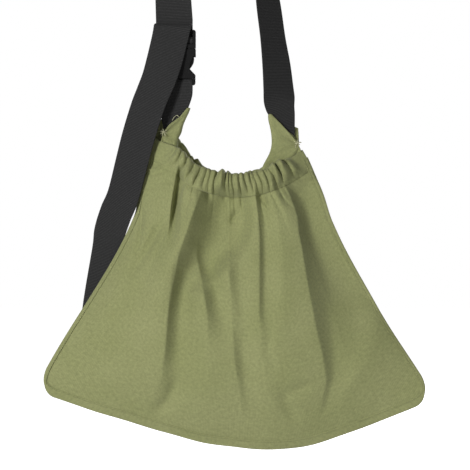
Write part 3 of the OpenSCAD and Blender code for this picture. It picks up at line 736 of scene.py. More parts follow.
class BagShape:
    """Surface of the bag: u runs from left (-1) to right (1), and s from the mouth (0) to the bottom (1)."""

    def __init__(self, sizes):
        self.sizes = sizes
        half = sizes.mouth_width / 2
        self.knot_left = (sizes.bag_right - half, sizes.ear_fall / 2 - sizes.knot_drop)
        self.knot_right = (sizes.bag_right + half, -sizes.ear_fall / 2 - sizes.knot_drop)
        middle = sizes.bag_right + sizes.corner_shift
        drop = sizes.knot_drop + sizes.corner_drop
        self.corner_left = (middle - sizes.bag_width / 2, sizes.corner_fall / 2 - drop)
        self.corner_right = (middle + sizes.bag_width / 2, -sizes.corner_fall / 2 - drop)
        self.lowest = (sizes.bag_right + sizes.low_shift, -drop - sizes.hem_sag)
        self.rows = {FRONT: GatherRow(FRONT_VALLEYS, FRONT_GATHER_SEED),
                     BACK: GatherRow(BACK_VALLEYS, BACK_GATHER_SEED)}

    def mouth(self, side, u):
        """Top edge of the cloth, which dips between the ears."""
        sizes, t = self.sizes, (u + 1) / 2
        power = FRONT_MOUTH_POWER if side == FRONT else BACK_MOUTH_POWER
        x = lerp(self.knot_left[0] - sizes.mouth_reach, self.knot_right[0] + sizes.mouth_reach, t)
        z = lerp(self.knot_left[1], self.knot_right[1], t) - sizes.ear_skirt
        near = np.exp(-((u - EAR_PULL_PLACE) / EAR_PULL_WIDTH) ** 2)
        pull = sizes.ear_pull * near * (1 if side == FRONT else BACK_PULL)
        return x, z - sizes.mouth_dip * (1 - np.abs(u) ** power) + pull

    def bottom(self, u):
        """Bottom edge of the cloth, which sags from the corners and ripples a little."""
        x = lerp(self.corner_left[0], self.corner_right[0], (u + 1) / 2)
        left = x < self.lowest[0]
        end_x = np.where(left, self.corner_left[0], self.corner_right[0])
        end_z = np.where(left, self.corner_left[1], self.corner_right[1])
        k = (x - self.lowest[0]) / (end_x - self.lowest[0])
        rise = (np.hypot(k, HEM_ROUND) - HEM_ROUND) / (np.hypot(1, HEM_ROUND) - HEM_ROUND)
        swing = sum(share * np.sin(rate * u + start) for share, rate, start in HEM_WAVES)
        return x, lerp(self.lowest[1], end_z, rise) + HEM_RIPPLE * swing * (1 - u * u)

    def rib(self, side, u):
        """Length of the cloth from the mouth to the bottom."""
        (x0, z0), (x1, z1) = self.mouth(side, u), self.bottom(u)
        return np.hypot(x1 - x0, z1 - z0)

    def bow(self, u, s):
        """How far right the cloth is moved by the bow of its side edges and the slack of the left one."""
        left = np.sin(math.pi * s ** LEFT_SKEW) ** 2 * self.sizes.left_bow
        right = np.sin(math.pi * s ** RIGHT_SKEW) ** 2 * self.sizes.right_bow
        right = right + RIGHT_WAIST * ease(*WAIST_START, s) * (1 - ease(*WAIST_END, s))
        right = right - RIGHT_SHOULDER * (1 - ease(*SHOULDER_END, s))
        drawn_in = np.abs(u) ** BOW_POWER * np.where(u < 0, left, -right)
        slack = self.sizes.left_slack * (1 - ease(*SLACK_END, s))
        return drawn_in - slack * np.where(u < 0, np.abs(u) ** SLACK_POWER, 0)

    def outline(self, side, u, s):
        """Place (x, z) on the cloth, with rounded corners and edges that bow in."""
        u, s = round_corners(u, s)
        (x0, z0), (x1, z1) = self.mouth(side, u), self.bottom(u)
        return lerp(x0, x1, s) + self.bow(u, s), lerp(z0, z1, s)

    def body(self, side, u, s):
        """Depth of the bag without its gathers and folds."""
        swell = self.sizes.front_swell if side == FRONT else self.sizes.back_swell
        round_part = self.sizes.mouth_depth * (1 - s) + swell * np.sin(math.pi * s ** SWELL_SKEW)
        return round_part * (1 - np.abs(u) ** LENS_POWER)

    def folds(self, side, u, s):
        """How far the folds draw the cloth in, held softly within the bag; they start inside the casing."""
        start = s + FOLD_RISE * (1 - ease(*FOLD_RISE_END, s))
        if side == FRONT:
            depth = self.sizes.front_fold * fold_share(u, start, FRONT_FOLDS + FRONT_LESSER)
        else:
            depth = self.sizes.back_fold * fold_share(u, start, BACK_FOLDS)
        room = FOLD_ROOM * self.body(side, u, s) + EDGE_ROOM
        return depth / (1 + (depth / room) ** FOLD_STOP) ** (1 / FOLD_STOP)

    def panel_relief(self, side, u, s, x, z):
        """Gathers, folds and waves of the panel, outwards."""
        row, below = self.rows[side], np.maximum(s * self.rib(side, u) - self.sizes.casing_height, 0)
        wander = row.lean(u) * below / PANEL_LEAN + stray(below, u, PANEL_STRAY)
        puff = PANEL_PINCH + (1 - PANEL_PINCH) * ease(0, PANEL_PUFF, below)
        fan = 1 - FAN_MIDDLE + np.minimum(below / self.sizes.casing_height, 1)
        gathers = PANEL_GATHER * row.ridge(u, wander, fan, 1) * puff * np.exp(-below / row.reach(u))
        folds = self.folds(side, u, s)
        if side == FRONT:
            in_fold = ease(*FOLD_PULL_START, u) * (1 - ease(*FOLD_PULL_END, u))
            gathers = gathers * (1 - FOLD_PULL * in_fold * ease(0, FOLD_PULL_TOP, below))
            folds = folds + crease_depth(x, z, FRONT_CREASES)
        calm = ease(0, PANEL_CALM, below)
        edge = 1 - np.abs(u) ** WAVE_POWER
        return gathers - folds + waves(x, z, side, PANEL_WAVES) * calm * edge

    def panel(self, side, u, s):
        """Points of the panel's inner face."""
        x, z = self.outline(side, u, s)
        depth = self.body(side, u, s) + self.panel_relief(side, u, s, x, z)
        return np.stack([x, side * (SEAM_HALF + np.maximum(depth, 0)), z], axis=-1)

    def casing_draw(self, side, u, s, level):
        """How far the folds draw in the casing; level runs from its top (0) to its stitch line (1)."""
        return self.folds(side, u, s) * ease(*CASING_DRAW, level)

    def casing(self, side, u, angle):
        """Points of the casing: angle 0 at the stitch line, up the outside, over the top and down inside."""
        sizes, row = self.sizes, self.rows[side]
        down = sizes.casing_height / 2 * (1 + np.cos(angle))
        level, s = down / sizes.casing_height, down / self.rib(side, u)
        x, z = self.outline(side, u, s)
        outside, aside = np.sin(angle), np.abs(u)
        lean = row.lean(u) * (down - sizes.casing_height) / CASING_LEAN
        ridge = row.ridge(u, stray(down, u, CASING_STRAY) + lean, level - FAN_MIDDLE, level)
        half = (sizes.casing_thickness - CASING_LAP) / 2 + waves(x, z, side, CASING_WAVES)
        half = half * (1 - CASING_THINNING * ease(*CASING_THIN, aside))
        thick = half + sizes.gather_height * ridge * np.where(outside > 0, 1, INSIDE_GATHER)
        bulk = casing_loft(outside, level, aside) * thick
        room = ELASTIC_ROOM * ease(*ROOM_TOP, level) * (1 - ease(*ROOM_FOOT, level))
        bulk = np.where(outside > 0, np.maximum(bulk, room), np.minimum(bulk, -room))
        near_seam = 1 - ease(0, SEAM_GATHER_TOP, sizes.casing_height - down)
        bulk = bulk + SEAM_GATHER * row.ridge(u, 0, 1 - FAN_MIDDLE, 1) * near_seam
        lap_loss = CASING_LAP_LOSS * ease(*LAP_LOSS_LEVELS, level) * ease(*LAP_LOSS_ASIDE, aside)
        lap = CASING_LAP - lap_loss
        depth = SEAM_HALF + self.body(side, u, s) + lap + bulk - self.casing_draw(side, u, s, level)
        scallop = SCALLOP * (ridge - SCALLOP_MIDDLE) * ease(*SCALLOP_GROWTH, 1 - level)
        return np.stack([x, side * depth, z + scallop], axis=-1)


def cloth_uv(points):
    """UV in metres along the rows and down the columns of a grid."""
    across = np.linalg.norm(np.diff(points, axis=1), axis=2).mean(axis=0)
    down = np.linalg.norm(np.diff(points, axis=0), axis=2).mean(axis=1)
    u = np.concatenate([[0], np.cumsum(across)])
    v = np.concatenate([[0], np.cumsum(down)])
    return np.stack(np.meshgrid(u, v), axis=-1)


def wrapped_uv(points):
    """UV of a grid that is closed round its columns: one column more."""
    return cloth_uv(np.concatenate([points, points[:, :1]], axis=1))


# Panels and mouth

# How far a panel runs up into its casing.
PANEL_TUCK = 3 * MM
PANEL_COLUMNS = 300
PANEL_ROWS = 150
CASING_COLUMNS = 420
CASING_RING = 26
# Cloth of the casings and of the edge strip, pressed thinner than the panels by their seams.
PRESSED_CLOTH = 0.7 * MM
# Elastic: where it ends, as u, the height of its crimps and their rate along u.
ELASTIC_THICKNESS = 0.8 * MM
ELASTIC_END = 0.97
ELASTIC_CRIMP = 0.4 * MM
CRIMP_RATE = 150
ELASTIC_COLUMNS = 161
ELASTIC_ROWS = 7


class PICKINGBAG_OT_panels(bpy.types.Operator):
    """Makes the front and back panels of the bag, as gathered sheets of canvas"""

    bl_idname = "picking_bag.panels"
    bl_label = "Panels"

    def execute(self, context):
        sizes = context.scene.picking_bag.bag
        shape = BagShape(sizes)
        for side, name, node in ((FRONT, "front_cloth", "front_panel"), (BACK, "back_cloth", "back_panel")):
            u = np.linspace(-1, 1, PANEL_COLUMNS + 1)
            top = (sizes.casing_height - PANEL_TUCK) / shape.rib(side, u)
            share = np.linspace(0, 1, PANEL_ROWS + 1)[:, None]
            s = lerp(top[None, :], 1, share)
            points = shape.panel(side, np.broadcast_to(u, s.shape), s)
            piece = new_piece(name, grid_mesh(name, points, cloth_uv(points), flip=side == BACK), "canvas")
            add_thickness(piece, sizes.canvas_thickness, 1)
            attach(piece, BAG)
            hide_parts(node)
        return {"FINISHED"}


class PICKINGBAG_OT_mouth(bpy.types.Operator):
    """Makes the gathered casings along the mouth, and the elastic inside them"""

    bl_idname = "picking_bag.mouth"
    bl_label = "Mouth"

    def execute(self, context):
        sizes = context.scene.picking_bag.bag
        shape = BagShape(sizes)
        for side, word in ((FRONT, "front"), (BACK, "back")):
            u = np.linspace(-1, 1, CASING_COLUMNS + 1)[:, None]
            angle = np.linspace(0, 2 * math.pi, CASING_RING, endpoint=False)[None, :]
            u, angle = np.broadcast_arrays(u, angle)
            points = shape.casing(side, u, angle)
            mesh = grid_mesh(f"{word}_mouth", points, wrapped_uv(points), wrap=True, flip=side == BACK)
            casing = new_piece(f"{word}_mouth", mesh, "canvas")
            add_thickness(casing, PRESSED_CLOTH, -1)
            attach(casing, BAG)
            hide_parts(f"{word}_casing")
            self.elastic(sizes, shape, side, word)
        return {"FINISHED"}

    def elastic(self, sizes, shape, side, word):
        """Crimped band in the middle of the casing."""
        u = np.linspace(-ELASTIC_END, ELASTIC_END, ELASTIC_COLUMNS)[:, None]
        across = np.linspace(-0.5, 0.5, ELASTIC_ROWS)[None, :]
        u, across = np.broadcast_arrays(u, across)
        down = sizes.casing_height / 2 + across * sizes.elastic_width
        s = down / shape.rib(side, u)
        x, z = shape.outline(side, u, s)
        crimp = ELASTIC_CRIMP * np.sin(CRIMP_RATE * u)
        drawn = shape.casing_draw(side, u, s, down / sizes.casing_height)
        depth = SEAM_HALF + shape.body(side, u, s) + CASING_LAP + crimp - drawn
        points = np.stack([x, side * depth, z], axis=-1)
        band = new_piece(f"{word}_band", grid_mesh(f"{word}_band", points, cloth_uv(points)), "elastic")
        add_thickness(band, ELASTIC_THICKNESS, 0)
        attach(band, BAG)
        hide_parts(f"{word}_elastic")


# Strip along the side edges and the bottom

# Where the strip starts under the ears, as s, and how near to the corners it comes, as s and as u.
SEAM_TOP = 0.035
SEAM_END = 0.995
SEAM_STEPS = 110
# Its width at the sides and along the bottom, its gap over the panels, and how far it reaches past the edge.
SIDE_SEAM = 5 * MM
BOTTOM_SEAM = 11 * MM
SEAM_LIFT = 0.1 * MM
SEAM_TIP = 1.6 * MM
# How much more the strip is lifted by the end of the casing under it, and where that ends, as s.
CASING_STEP = 1.4 * MM
CASING_STEP_END = (0.085, 0.11)
# Half of the strip's section: share of its width in from the edge, and lift off the panel in millimetres.
# Its inner edge is pressed into the cloth.
STRIP_SECTION = ((1, -0.62), (0.94, -0.4), (0.7, -0.1), (0.4, 0.1), (0.1, 0.2))
# Share of its width over which the direction past the edge is taken.
STRIP_AIM = 0.4
# Angles at which a rounded fold of cloth has its points.
FOLD_TURNS = (-60, -30, 0, 30, 60)


def seam_path(steps):
    """Points (u, s) down the left edge, along the bottom and up the right edge."""
    side = np.linspace(SEAM_TOP, SEAM_END, steps)
    low = np.linspace(-SEAM_END, SEAM_END, 2 * steps)
    u = np.concatenate([np.full(steps, -1.0), low, np.full(steps, 1.0)])
    s = np.concatenate([side, np.ones(2 * steps), side[::-1]])
    return u, s


def seam_lift(sizes, s):
    """How far the seam stands off the panel's inner face, with the end of the casing under its top."""
    return sizes.canvas_thickness + SEAM_LIFT + CASING_STEP * (1 - ease(*CASING_STEP_END, s))


def seam_inside(shape, u, s, share):
    """Points (u, s) that far in from the edge, as a share of the seam's width."""
    x_left, _ = shape.outline(FRONT, np.full_like(s, -1.0), s)
    x_right, _ = shape.outline(FRONT, np.full_like(s, 1.0), s)
    inner_u = u * (1 - share * SIDE_SEAM / ((x_right - x_left) / 2))
    rise = BOTTOM_SEAM / shape.rib(FRONT, u) * (s - SEAM_TOP) / (1 - SEAM_TOP)
    return inner_u, s - share * rise


class PICKINGBAG_OT_seams(bpy.types.Operator):
    """Makes the folded canvas strip over the side edges and the bottom edge"""

    bl_idname = "picking_bag.seams"
    bl_label = "Seams"

    def execute(self, context):
        sizes = context.scene.picking_bag.bag
        shape = BagShape(sizes)
        u, s = seam_path(SEAM_STEPS)
        out = seam_lift(sizes, s)
        front, back = [self.face(shape, side, u, s, out) for side in (FRONT, BACK)]
        points = np.stack(front + self.tip(shape, u, s, out) + back[::-1], axis=1)
        mesh = grid_mesh("edge_strip", points, cloth_uv(points), flip=True)
        strip = new_piece("edge_strip", mesh, "canvas")
        add_thickness(strip, PRESSED_CLOTH, 1)
        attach(strip, BAG)
        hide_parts("edge_binding")
        return {"FINISHED"}

    def face(self, shape, side, u, s, out):
        """Rows of the strip on one side of the bag, from its inner edge outwards."""
        rows = []
        for share, lift in STRIP_SECTION:
            inner_u, inner_s = seam_inside(shape, u, s, share)
            row = shape.panel(side, inner_u, inner_s)
            row[:, 1] += side * (out + lift * MM)
            rows.append(row)
        return rows

    def tip(self, shape, u, s, out):
        """The rounded fold of the strip past the edge."""
        x, z = shape.outline(FRONT, u, s)
        inner_u, inner_s = seam_inside(shape, u, s, STRIP_AIM)
        x_in, z_in = shape.outline(FRONT, inner_u, inner_s)
        away = unit(np.stack([x - x_in, z - z_in], axis=-1))
        rows = []
        for turn in np.radians(FOLD_TURNS):
            reach = SEAM_TIP * math.cos(turn)
            y = out * math.sin(turn)
            rows.append(np.stack([x + away[:, 0] * reach, y, z + away[:, 1] * reach], axis=-1))
        return rows


# Ears, in millimetres

EAR_COLUMNS = 31
EAR_ROWS = 25
# Degrees that the right ear is turned out of the plane of the bag.
RIGHT_EAR_TURN = 15
# Pleats that fan out from the knot: height, how many there are in a turn, where the first one lies, how much
# they stand out on the whole, how far from the knot they are full, over what distance they fade, and how far
# beside and under the knot they meet.
PLEAT_HEIGHT = 1.5
PLEAT_COUNT = 7
PLEAT_FIRST = 0.6
PLEAT_LEVEL = 0.6
PLEAT_START = 14
PLEAT_FADE = 45
PLEAT_MEET = 3
# Swell of a flap, and how far from the knot it ends.
EAR_CROWN = 1.6
EAR_REACH = 48
# How much its hem stands out, and where that starts and is full, as shares of the way up to the rim.
EAR_HEM = 0.5
EAR_HEM_EDGE = (0.8, 0.9)
# How far the fold at an ear's tip is rounded out, as a share of half the gap between its flaps.
EAR_FOLD = 0.9
FACING_COLUMNS = 17
FACING_CLOTH = 0.6 * MM
# Turned-in edge: height, the part of a half wave that its top follows, and its ripples' height and rate.
FACING_HEIGHT = 2.6
FACING_ARCH = (0.12, 0.9)
FACING_RIPPLE = 0.5
FACING_RATE = 9
# How far behind the front flap it stands, and how much further back its top leans.
FACING_BACK = 1.0
FACING_LEAN = 0.3
# Rows of the turned-in edge, from inside the ear to its top, as shares of its height.
FACING_ROWS = (-1.2, -0.5, 0.3, 1)


def along_line(points, t):
    """Points spread evenly along a line of straight stretches."""
    points = np.array(points, float)
    spans = np.linalg.norm(np.diff(points, axis=0), axis=1)
    at = np.concatenate([[0], np.cumsum(spans)]) / spans.sum()
    return np.stack([np.interp(t, at, points[:, k]) for k in range(points.shape[1])], axis=-1)


class PICKINGBAG_OT_ears(bpy.types.Operator):
    """Makes the two canvas ears that hold the webbing, each one sheet folded round it"""

    bl_idname = "picking_bag.ears"
    bl_label = "Ears"

    # Rim and foot of each ear in its own frame: knot at the origin, tip to +X, in millimetres. Then half of
    # the gap between its flaps, how far the front flap leans out over the knot, how far its tip is drawn in
    # halfway up, the stretch of the rim with a turned-in edge, and its flat width, height and area in metres.
    LEFT = {
        "front_rim": ((0, 0), (12, 11), (23, 22), (32.5, 34)),
        "front_foot": ((-4, -14), (3, -18), (7, -23), (10, -27)),
        "back_foot": ((10, -27), (0, -31), (-20, -37)),
        "back_rim": ((32.5, 34), (18, 31), (4, 22), (-10, 16)),
        "gap": 3.6,
        "lean": 8,
        "waist": 2,
        "facing": (0.08, 0.62),
        "cut": (0.085, 0.065, 0.0036),
    }
    RIGHT = {
        "front_rim": ((0, 0), (12, 13), (25, 27), (38, 40)),
        "front_foot": ((-5, -12), (6, -28), (20, -40), (49, -42)),
        "back_foot": ((49, -42), (20, -40), (-4, -13)),
        "back_rim": ((38, 40), (20, 33), (4, 24), (-3, 21)),
        "gap": 2.6,
        "lean": 2,
        "waist": 11,
        "facing": (0.04, 0.4),
        "cut": (0.12, 0.09, 0.0075),
    }

    def execute(self, context):
        sizes = context.scene.picking_bag.bag
        shape = BagShape(sizes)
        ears = (("left", self.LEFT, shape.knot_left), ("right", self.RIGHT, shape.knot_right))
        for word, plan, knot in ears:
            points = self.place(word, self.sheet_points(plan), knot)
            mesh = grid_mesh(f"{word}_ear_cloth", points, cloth_uv(points), flip=word == "right")
            ear = new_piece(f"{word}_ear_cloth", mesh, "canvas")
            add_thickness(ear, sizes.canvas_thickness, 0)
            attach(ear, BAG)
            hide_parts(f"{word}_ear")
            points = self.place(word, self.facing_points(plan), knot)
            mesh = grid_mesh(f"{word}_ear_facing", points, cloth_uv(points), flip=word == "right")
            facing = new_piece(f"{word}_ear_facing", mesh, "canvas")
            add_thickness(facing, FACING_CLOTH, 0)
            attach(facing, BAG)
        return {"FINISHED"}

    def sheet_points(self, plan):
        """One sheet: front flap from the knot to the tip, round the fold, and back along the rear flap."""
        t = np.linspace(0, 1, EAR_COLUMNS)
        b = np.linspace(0, 1, EAR_ROWS)[:, None]
        front = self.flap(plan["front_rim"], plan["front_foot"], -plan["gap"], t, b)
        back = self.flap(plan["back_rim"], plan["back_foot"], plan["gap"], t, b)
        narrow = plan["waist"] * np.sin(math.pi * b) ** 2
        front[..., 1] -= plan["lean"] * b * (1 - t) ** 2
        front[..., 0] -= narrow * t ** 2
        back[..., 0] -= narrow * t[::-1] ** 2
        turn = self.fold(front[:, -1], back[:, 0])
        return np.concatenate([front, turn, back], axis=1)

    def facing_points(self, plan):
        """The turned-in edge that shows over the rim of the front flap."""
        t = np.linspace(*plan["facing"], FACING_COLUMNS)
        rim = along_line(plan["front_rim"], t)
        along = unit(np.gradient(rim, axis=0))
        rise = np.stack([-along[:, 1], along[:, 0]], axis=-1)
        arch = np.sin(math.pi * np.linspace(*FACING_ARCH, FACING_COLUMNS))
        swell = arch * FACING_HEIGHT + FACING_RIPPLE * np.sin(FACING_RATE * t)
        rows = []
        for share in FACING_ROWS:
            p = rim + rise * (swell * share)[:, None]
            y = np.full(FACING_COLUMNS, -plan["gap"] + FACING_BACK + FACING_LEAN * share)
            rows.append(np.stack([p[:, 0], y, p[:, 1]], axis=-1))
        return np.stack(rows)

    def flap(self, rim, foot, y, t, b):
        """A flap between its foot and its rim, with pleats that fan out from the knot."""
        rim, foot = along_line(rim, t), along_line(foot, t)
        x = lerp(foot[None, :, 0], rim[None, :, 0], b)
        z = lerp(foot[None, :, 1], rim[None, :, 1], b)
        angle = np.arctan2(z + PLEAT_MEET, x + PLEAT_MEET)
        far = np.hypot(x, z)
        fan = PLEAT_LEVEL + np.sin(PLEAT_COUNT * angle + PLEAT_FIRST)
        pleat = PLEAT_HEIGHT * fan * ease(0, PLEAT_START, far) * np.exp(-far / PLEAT_FADE)
        crown = EAR_CROWN * np.sin(math.pi * np.clip(far / EAR_REACH, 0, 1))
        hem = EAR_HEM * ease(*EAR_HEM_EDGE, b)
        return np.stack([x, y + np.sign(y) * (crown + pleat + hem), z], axis=-1)

    def fold(self, front, back):
        """The rounded fold between the two flaps."""
        middle = (front + back) / 2
        half = (back[:, 1] - front[:, 1]) / 2
        rows = []
        for turn in np.radians(FOLD_TURNS):
            p = lerp(front, back, (math.sin(turn) + 1) / 2)
            p[:, 0] += half * EAR_FOLD * math.cos(turn)
            p[:, 1] = middle[:, 1] + half * math.sin(turn)
            rows.append(p)
        return np.stack(rows, axis=1)

    def place(self, word, points, knot):
        """Moves an ear from its own frame to its knot, in metres."""
        p = points * MM
        if word == "right":
            turn = math.radians(RIGHT_EAR_TURN)
            x, y = -p[..., 0], p[..., 1].copy()
            p[..., 0] = x * math.cos(turn) - y * math.sin(turn)
            p[..., 1] = x * math.sin(turn) + y * math.cos(turn)
        p[..., 0] += knot[0]
        p[..., 2] += knot[1]
        return p


# Webbing, in millimetres

def turned(degrees):
    """Direction of a strap's width, turned that far from +X towards +Y."""
    return (math.cos(math.radians(degrees)), math.sin(math.radians(degrees)), 0.0)


def station(x, y, z, face, width):
    """A place on a strap, the direction of its width and how wide it is there."""
    return (x, y, z, *face, width)


def smooth_run(stations, steps):
    """Catmull-Rom run through stations, without its last one."""
    p = np.array(stations)
    t = (np.arange(steps) / steps)[:, None]
    runs = []
    for i in range(len(p) - 1):
        a, b, c, d = p[max(i - 1, 0)], p[i], p[i + 1], p[min(i + 2, len(p) - 1)]
        runs.append(0.5 * (2 * b + (c - a) * t + (2 * a - 5 * b + 4 * c - d) * t ** 2
                           + (3 * b - a - 3 * c + d) * t ** 3))
    return np.concatenate(runs)


# Rows of the webbing over which its ribs follow a bend.
WEBBING_EVEN = 25
# Half of a strap's section, from the middle outwards: share of the half width, and share of the thickness.
WEBBING_SECTION = ((0.25, 1.0), (0.6, 1.0), (0.86, 1.0), (0.93, 1.06), (0.975, 0.95), (1.0, 0.5))


def strap_mesh(name, route, thickness, width):
    """Closed mesh of a flat strap along its route, its UV in metres across and along it."""
    place, face, widths = route[:, :3], route[:, 3:6], route[:, 6:7]
    along = unit(np.gradient(place, axis=0))
    even = np.ones(WEBBING_EVEN) / WEBBING_EVEN
    padded = np.pad(along, ((WEBBING_EVEN // 2, WEBBING_EVEN // 2), (0, 0)), mode="edge")
    trend = np.stack([np.convolve(padded[:, k], even, "valid") for k in range(3)], axis=-1)
    across = unit(face - (face * trend).sum(axis=1, keepdims=True) * trend)
    normal = unit(np.cross(along, across))
    top = [(-a, t) for a, t in WEBBING_SECTION[::-1]] + list(WEBBING_SECTION)
    section = top + [(a, -t) for a, t in top[::-1]]
    ring = [place + across * widths / 2 * a + normal * thickness / 2 * t for a, t in section]
    run = np.concatenate([[0], np.cumsum(np.linalg.norm(np.diff(place, axis=0), axis=1))])
    sideways = np.array([a for a, _ in section + section[:1]])
    uv = np.stack(np.meshgrid(sideways * width / 2, run * MM), axis=-1)
    return grid_mesh(name, np.stack(ring, axis=1) * MM, uv, wrap=True, capped=True)


class StrapRoute:
    """Where the webbing runs; the buckle's own frame has z = 0 at the mouth of its socket."""

    # Stations in the right ear: along the face, up, and how wide the gathered webbing is.
    RIGHT_EAR = ((-12, 4, 18), (-15, 20, 24), (-16.5, 35, 28), (-21.5, 43, 38), (-25, 55, 44))
    # Stations up the right side: right, back, share of the drop to the knot, and the turn of the face.
    RIGHT_SIDE = ((92, -5, 0.79, 32), (89, -2, 0.69, 38), (84, 0, 0.58, 45), (77, 0, 0.43, 48),
                  (68, 0, 0.24, 66), (60, 0, 0.08, 84))
    # Stations down the left side: share of the drop to the buckle, share of the way back, turn of the face.
    LEFT_SIDE = ((0.16, 0, 95), (0.38, 0.2, 130), (0.66, 0.6, 165), (0.84, 0.8, 176))
    # Tail stations from the mouth of the buckle: right, back, up, and the turn of its face.
    TAIL = ((-13, -9.6, -16, -6), (-20.5, -11, -41, -14), (-29, -12, -62, -18), (-37.5, -12.5, -84, -20),
            (-49, -10.5, -121, -22), (-58, -7, -155, -24), (-71, 0, -204, -27), (-82, 7, -230, -28),
            (-91, 17, -257, -30), (-94, 22, -280, -30), (-103.5, 28, -335, -28), (-108, 29, -368, -26),
            (-112, 28, -414, -22))
    # Stations of the tab in the left ear: right, up, and how wide the gathered webbing is.
    LEFT_EAR = ((8, 4, 18), (12, 20, 32), (13.5, 34, 40))
    # Where the tail starts, from the mouth of the buckle: right and up.
    TAIL_TOP = (-6, 13)
    # Height of the plug's lower bar, how far above the ladder the strap is straight, how far above the lower
    # bar it starts to bend, and where that bend ends: behind the bar's turn, and above the bar.
    LOW_BAR = 12.2
    STRAIGHT_RUN = 14
    BEND_START = 6.5
    BEND_END = (0.4, 2)
    # Turns, as degrees from, degrees to and steps: round the lower bar, up between the bars, over the ladder
    # and round the bar of the tab.
    LOW_TURN = (0, -270, 30)
    BETWEEN_TURN = (-75, 0, 9)
    TOP_TURN = (0, 180, 24)
    TAB_TURN = (180, 0, 20)
    # How far above the ladder the turn over it has its centre, and how far to the left it ends.
    TOP_LIFT = 1.6
    TOP_ASIDE = 3
    # How far under its bar the two layers of the tab come together.
    TAB_MEET = 16
    # Gaps between layers of webbing, and between the tail and the socket.
    LAYER_GAP = 0.1
    TAIL_GAP = 2.6
    # How much the webbing spreads in the slots, and how far up its slack stands off a bar.
    SPREAD = 1.2
    LADDER_SLACK = -2.5
    TAB_SLACK = 2.75
    # Steps of the arch, and of each stretch up the sides, into the buckle, down the tail and along the tab.
    ARCH_STEPS = 60
    SIDE_STEPS = 10
    LEAD_STEPS = 6
    TAIL_STEPS = 12
    TAB_STEPS = 8

    def __init__(self, bag, strap):
        self.shape = BagShape(bag)
        clearance = strap.clearance / MM
        self.width = strap.webbing_width / MM
        self.thick = strap.webbing_thickness / MM
        self.shoulder = strap.shoulder_radius / MM
        self.arch = self.shoulder + self.thick / 2
        self.drop = strap.buckle_drop / MM
        self.left = strap.buckle_left / MM
        self.ladder = strap.ladder_height / MM
        self.turn = strap.bar_radius / MM + clearance + self.thick / 2
        self.load_y = self.turn + self.thick + clearance + self.LAYER_GAP
        self.tail_y = -strap.socket_thickness / MM / 2 - self.TAIL_GAP
        self.run_end = self.ladder + self.STRAIGHT_RUN
        self.tab_turn = strap.tab_bar_radius / MM + clearance + self.thick / 2
        self.tab_bar_z = strap.tab_bar_radius / MM - strap.socket_height / MM
        self.tab_leg = self.thick / 2 + clearance

    def in_buckle(self, y, z, aside=0):
        """A place in the buckle, where the webbing spreads a little and fills the slots."""
        return station(-self.left - aside, y, z - self.drop, turned(180), self.width + self.SPREAD)

    def turn_round(self, y, z, radius, sweep, slack=0, aside=0):
        """A turn round a bar; slack lifts it off the bar, up or down, and aside moves its end to the left."""
        start, end, steps = sweep
        sense = math.copysign(1, slack)
        stations = []
        for share in np.linspace(0, 1, steps + 1):
            a = math.radians(lerp(start, end, share))
            rise = radius * math.sin(a) + slack * max(0, sense * math.sin(a))
            stations.append(self.in_buckle(y + radius * math.cos(a), z + rise, aside * share ** 2))
        return stations

    def up_right(self):
        """From the right ear up to the shoulder."""
        face = turned(RIGHT_EAR_TURN)
        knot_x, knot_z = [value / MM for value in self.shape.knot_right]
        ear = [station(knot_x + x * face[0], x * face[1], knot_z + z, face, width)
               for x, z, width in self.RIGHT_EAR]
        side = [station(x, y, lerp(-self.shoulder, knot_z, share), turned(turn), self.width)
                for x, y, share, turn in self.RIGHT_SIDE]
        return ear + side

    def over_shoulder(self):
        """Half a circle over the shoulder, from right to left."""
        stations = []
        for a in np.radians(np.linspace(0, 180, self.ARCH_STEPS + 1)):
            x, z = self.arch * math.cos(a), self.arch * math.sin(a) - self.shoulder
            stations.append(station(x, 0, z, turned(90), self.width))
        return stations

    def down_left(self):
        """From the shoulder down towards the buckle."""
        stations = []
        for share, back, turn in self.LEFT_SIDE:
            x = lerp(-self.arch, -self.left, share ** 2)
            z = lerp(-self.shoulder, self.run_end - self.drop, share)
            stations.append(station(x, self.load_y * back, z, turned(turn), self.width))
        return stations

    def into_buckle(self):
        """Straight down behind the ladder, and forward to the lower bar."""
        behind, above = self.BEND_END
        places = ((self.load_y, self.run_end), (self.load_y, self.ladder),
                  (self.load_y, self.LOW_BAR + self.BEND_START), (self.turn + behind, self.LOW_BAR + above))
        return [self.in_buckle(y, z) for y, z in places]

    def round_bars(self):
        """Round the lower bar, up between the bars and over the top of the ladder to its front."""
        middle, over = (self.turn + self.tail_y) / 2, (self.turn - self.tail_y) / 2
        between, top = self.LOW_BAR + 2 * self.turn, self.ladder + self.TOP_LIFT
        return (self.turn_round(0, self.LOW_BAR, self.turn, self.LOW_TURN, slack=self.LADDER_SLACK)
                + self.turn_round(0, between, self.turn, self.BETWEEN_TURN)
                + self.turn_round(middle, top, over, self.TOP_TURN, aside=self.TOP_ASIDE))

    def loose_tail(self):
        """Down in front of the buckle, and aside behind the bag."""
        top_x, top_z = self.TAIL_TOP
        start = station(top_x - self.left, self.tail_y, top_z - self.drop, turned(180), self.width)
        return [start] + [station(x - self.left, y, z - self.drop, turned(180 + turn), self.width)
                          for x, y, z, turn in self.TAIL]

    def strap(self):
        """One length of webbing: right ear, shoulder, round the bars of the plug, and the loose tail."""
        right, arch, left = self.up_right(), self.over_shoulder(), self.down_left()
        lead, threading, tail = self.into_buckle(), self.round_bars(), self.loose_tail()
        return np.concatenate([
            smooth_run(right + arch[:1], self.SIDE_STEPS),
            np.array(arch),
            smooth_run(arch[-1:] + left + lead[:1], self.SIDE_STEPS)[1:],
            smooth_run(lead, self.LEAD_STEPS),
            np.array(threading[1:]),
            smooth_run(threading[-1:] + tail, self.TAIL_STEPS)[1:],
            np.array(tail[-1:]),
        ])

